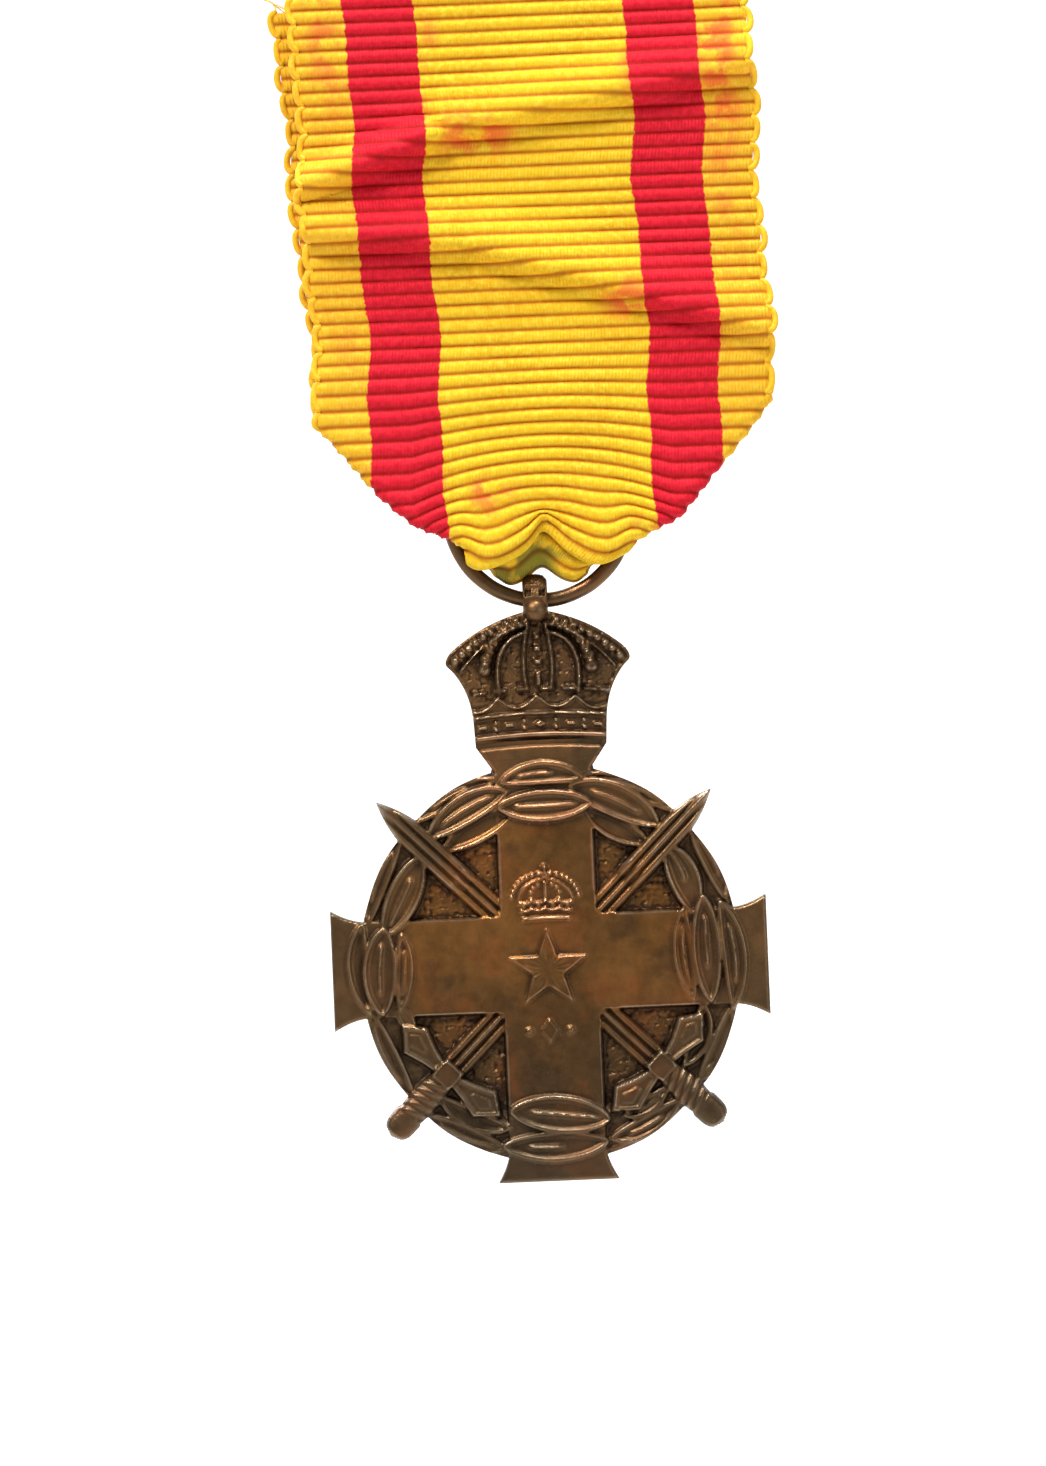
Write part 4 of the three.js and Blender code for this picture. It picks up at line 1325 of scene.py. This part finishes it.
def bronze(name, worn_more=0.0):
    """Dark patina, copper where it is rubbed, near black in the hollows, and raised edges lighter, partly
    as wear and partly as a painted highlight.
    """
    n = Nodes(name)
    cavity, edge = n.attribute("cavity"), n.attribute("edge")
    place_in = n.add("ShaderNodeTexCoord").outputs["Object"]
    parts = n.add("ShaderNodeSeparateXYZ")
    n.tree.links.new(place_in, parts.inputs[0])
    mottle = n.noise(900, 5)
    cloud = n.noise(130, 3)
    brown = n.mix(n.ramp(cloud, 0.35, 0.68), (0.145, 0.066, 0.018, 1), (0.245, 0.104, 0.026, 1))
    low_down = n.ramp(parts.outputs[2], (MEDAL_Z + 3) * MM, (MEDAL_Z - 14) * MM)
    brown = n.tint(brown, low_down, 0.8, (0.05, 0.034, 0.019, 1))
    blotch = n.ramp(n.noise(330, 5), 0.5, 0.68)
    brown = n.tint(brown, blotch, 0.45, (0.05, 0.03, 0.016, 1))
    warm = n.ramp(n.noise(210, 4), 0.52, 0.66)
    brown = n.tint(brown, warm, 0.4, (0.26, 0.08, 0.022, 1))
    x, z = parts.outputs[0], n.math("SUBTRACT", parts.outputs[2], MEDAL_Z * MM)
    away = n.math("SQRT", n.plus(n.times(x, x), n.times(z, z)))
    outer = n.ramp(away, 11.5 * MM, 13.5 * MM)
    brown = n.tint(brown, outer, 0.55, (0.105, 0.068, 0.036, 1))
    centre = n.math("SUBTRACT", 1.0, n.ramp(n.math("ABSOLUTE", x), 3 * MM, 11 * MM))
    top = n.ramp(parts.outputs[2], (MEDAL_Z - 9) * MM, (MEDAL_Z + 8) * MM)
    under_crown = n.ramp(parts.outputs[2], (MEDAL_Z + 24) * MM, (MEDAL_Z + 17) * MM)
    rubbed = n.times(n.times(centre, top), under_crown)
    rubbed = n.plus(n.times(rubbed, 0.75), 0.18 + worn_more)
    raised = n.ramp(n.plus(edge, n.times(cavity, 0.6)), 0.15, 1.3)
    copper = n.times(n.plus(raised, 0.25), n.times(rubbed, mottle))
    colour = n.mix(n.ramp(copper, 0.08, 0.75), brown, (0.33, 0.13, 0.05, 1))
    hollow = n.ramp(n.plus(cavity, n.times(edge, 0.3)), -0.1, -0.9)
    colour = n.tint(colour, hollow, 0.8, (0.028, 0.015, 0.008, 1))
    # Raised edges drawn lighter and greyer: partly worn metal, partly a painted highlight.
    worn_edge_and_highlight = n.times(n.ramp(edge, 0.3, 1.8), n.ramp(mottle, 0.3, 0.6, 0.5, 1.0))
    colour = n.tint(colour, worn_edge_and_highlight, 0.55, (0.36, 0.29, 0.2, 1))
    fleck = n.ramp(n.noise(2600, 2), 0.66, 0.74)
    colour = n.tint(colour, fleck, 0.35, (0.16, 0.12, 0.085, 1))
    n.bump(n.plus(n.times(mottle, 0.6), n.noise(3800, 3)), 0.35, 0.00008)
    rough = n.ramp(n.math("SUBTRACT", mottle, n.times(raised, 0.2)), 0.2, 0.75, 0.3, 0.52)
    return n.set(Base_Color=colour, Metallic=0.84, Roughness=rough, Specular_IOR_Level=0.4)


def silk(name):
    """Ribbed silk: yellow with two red stripes, dye bled into the yellow, verdigris and painted shade in
    the tuck at the ring, and painted shade in the rib valleys.
    """
    n = Nodes(name)
    across, run = n.attribute("across"), n.attribute("run")
    fray = n.times(n.math("SUBTRACT", n.noise(1500, 2), 0.5), 0.5)
    wavy = n.plus(across, fray)
    left = n.math("ABSOLUTE", n.plus(wavy, 11.8))
    right = n.math("ABSOLUTE", n.math("SUBTRACT", wavy, 11.9))
    nearer = n.math("MINIMUM", left, right)
    red_stripe = n.ramp(nearer, 3.08, 2.96)
    fine = n.noise(2200, 3)
    cloud = n.noise(110, 3)
    yellow = n.mix(n.ramp(cloud, 0.3, 0.7), (0.86, 0.51, 0.012, 1), (0.79, 0.42, 0.008, 1))
    yellow = n.mix(n.ramp(fine, 0.35, 0.8), yellow, (0.92, 0.63, 0.04, 1))
    border = n.math("GREATER_THAN", n.math("ABSOLUTE", across), 14.6)
    yellow = n.tint(yellow, border, 0.22, (0.88, 0.33, 0.04, 1))
    patch = n.ramp(n.noise(420, 4), 0.38, 0.6)
    stain = n.times(n.attribute("stain"), patch)
    halo = n.times(n.ramp(nearer, 4.6, 3.0), n.ramp(n.noise(260, 3), 0.48, 0.66))
    stain = n.math("MAXIMUM", stain, n.times(halo, 0.42))
    yellow = n.mix(n.ramp(stain, 0.0, 0.75, 0, 0.85), yellow, (0.83, 0.13, 0.03, 1))
    red = n.mix(n.ramp(fine, 0.3, 0.8), (0.58, 0.006, 0.02, 1), (0.76, 0.014, 0.034, 1))
    colour = n.mix(red_stripe, yellow, red)
    # The stretch tucked inside the ring: green and dark brown tints, stronger on the left, partly
    # verdigris and soil stain, partly painted shade in the fold.
    green = n.times(n.attribute("green"), n.ramp(n.noise(330, 3), 0.44, 0.58))
    green = n.times(green, n.ramp(across, 3.5, 0.5, 0.35, 1.0))
    colour = n.tint(colour, green, 0.75, (0.08, 0.13, 0.02, 1))
    soil_and_tuck_shade = n.times(n.attribute("green"), n.ramp(n.noise(200, 2), 0.5, 0.7))
    colour = n.tint(colour, soil_and_tuck_shade, 0.6, (0.1, 0.03, 0.02, 1))
    phase = n.math("ABSOLUTE", n.math("SINE", n.times(run, math.pi / RIB)))
    # Painted shade: the valleys between the ribs are darkened in the colour itself.
    valley_shade = n.ramp(phase, 0.78, 0.05)
    valley_shade_colour = n.mix(1.0, colour, (0.5, 0.22, 0.08, 1), "MULTIPLY")
    colour = n.tint(colour, valley_shade, 0.9, valley_shade_colour)
    ticks = n.math("SINE", n.times(across, 2 * math.pi / 0.29))
    thread = n.times(n.plus(ticks, n.times(fine, 2.2)), phase)
    n.bump(thread, 0.5, 0.00006)
    return n.set(Base_Color=colour, Roughness=0.62, Sheen_Weight=0.08, Sheen_Roughness=0.4,
                 Sheen_Tint=(1, 0.85, 0.5, 1), Specular_IOR_Level=0.14)


def thread_stuff(name, light, dark):
    """Matt thread, uneven in tone."""
    n = Nodes(name)
    grainy = n.noise(2400, 3)
    colour = n.mix(n.ramp(grainy, 0.3, 0.7), light, dark)
    n.bump(n.noise(5200, 2), 0.4, 0.00004)
    return n.set(Base_Color=colour, Roughness=0.7, Sheen_Weight=0.2)


def worn_metal(name, clean, tarnish, rough):
    """Sheet or wire metal with cloudy tarnish and fine scratches."""
    n = Nodes(name)
    cloud = n.noise(240, 5)
    scratch = n.add("ShaderNodeTexNoise", {"Scale": 900.0, "Detail": 3.0, "Distortion": 0.4})
    stretch = n.add("ShaderNodeMapping", {"Scale": (0.08, 1.0, 2.2)})
    n.tree.links.new(n.add("ShaderNodeTexCoord").outputs["Object"], stretch.inputs[0])
    n.tree.links.new(stretch.outputs[0], scratch.inputs["Vector"])
    edge = n.add("ShaderNodeNewGeometry").outputs["Pointiness"]
    colour = n.mix(n.ramp(cloud, 0.36, 0.64), clean, tarnish)
    colour = n.mix(n.ramp(edge, 0.52, 0.6, 0, 0.6), colour, clean)
    n.bump(n.plus(scratch.outputs["Fac"], n.times(cloud, 0.5)), 0.3, 0.00005)
    return n.set(Base_Color=colour, Metallic=0.9, Roughness=n.ramp(cloud, 0.3, 0.7, rough, rough + 0.2))


def plain_stage(name, colour):
    """Plain pale paper with a little light of its own."""
    n = Nodes(name)
    tone = n.noise(1.5, 2)
    light = tuple(c * 0.97 for c in colour[:3]) + (1,)
    n.set(Emission_Color=(1, 1, 0.99, 1), Emission_Strength=0.6)
    return n.set(Base_Color=n.mix(tone, colour, light), Roughness=0.9)


def make_stage():
    """A backdrop well behind the object and a floor below it, both far off so that all sides show."""
    half = 4.5
    for name, where, turn in (("backdrop", (0, 2.2, 0), (90, 0, 0)), ("floor", (0, 0, -1.3), (0, 0, 0))):
        mesh = bpy.data.meshes.new(name)
        corners = [(-half, -half, 0), (half, -half, 0), (half, half, 0), (-half, half, 0)]
        mesh.from_pydata(corners, [], [(0, 1, 2, 3)])
        sheet = bpy.data.objects.new(name, mesh)
        sheet.location = where
        sheet.rotation_euler = [math.radians(a) for a in turn]
        mesh.materials.append(plain_stage(name + "_paper", (0.93, 0.925, 0.91, 1)))
        bpy.context.scene.collection.objects.link(sheet)


def node_object(node):
    """The Blender object of a CAD node."""
    for thing in bpy.data.objects:
        if thing.get("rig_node") == node or thing.name == node:
            return thing
    raise RuntimeError(node)


def dress(piece, material, body=None):
    """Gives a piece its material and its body."""
    piece.data.materials.clear()
    piece.data.materials.append(material)
    if body:
        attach(piece, body)


def make_everything():
    """Every piece, dressed; all but the ribbon and its thread loops on a body."""
    patina = bronze("patina")
    ring_patina = bronze("ring_patina", worn_more=0.25)
    for piece in make_medal() + [make_finial()]:
        dress(piece, patina, "medal")
        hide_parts("medal")
    ring = make_ring()
    flat_attributes(ring, cavity=0.25, edge=0.5)
    dress(ring, ring_patina, "ring")
    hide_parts("suspension_ring")
    make_soft_parts()
    make_brooch()


def make_soft_parts():
    """Ribbon, its loops and loose threads, and the stitches."""
    cloth_stuff = silk("ribbed_silk")
    cloth, picots, fray = make_ribbon(), make_picots(), make_fray()
    dress(cloth, cloth_stuff)
    dress(picots, cloth_stuff)
    loose_silk = thread_stuff("loose_silk", (0.95, 0.82, 0.32, 1), (0.85, 0.6, 0.12, 1))
    dress(fray, loose_silk, "brooch")
    for piece in (cloth, picots):
        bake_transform(piece)
    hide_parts("ribbon_front_upper", "ribbon_front_lower", "ribbon_bight", "ribbon_rear_lower",
                "ribbon_rear_upper")
    cotton = thread_stuff("waxed_thread", (0.8, 0.66, 0.34, 1), (0.55, 0.4, 0.15, 1))
    for name, node in (("hem_stitches", "hem_thread"), ("end_stitches", "end_thread")):
        stitches = make_stitches(name, node)
        dress(stitches, cotton, "brooch")
        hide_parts(node)


def make_brooch():
    """The brooch keeps its CAD nodes and gets worn metal."""
    brass = worn_metal("tarnished_brass", (0.62, 0.44, 0.18, 1), (0.24, 0.15, 0.06, 1), 0.3)
    steel = worn_metal("pin_steel", (0.62, 0.6, 0.56, 1), (0.3, 0.26, 0.21, 1), 0.22)
    for node in ("brooch_bar", "hinge_bracket", "catch_hook"):
        dress(node_object(node), brass)
    for node in ("hinge_rivet", "brooch_pin"):
        dress(node_object(node), steel)


make_camera()
make_lights()
make_stage()
make_everything()
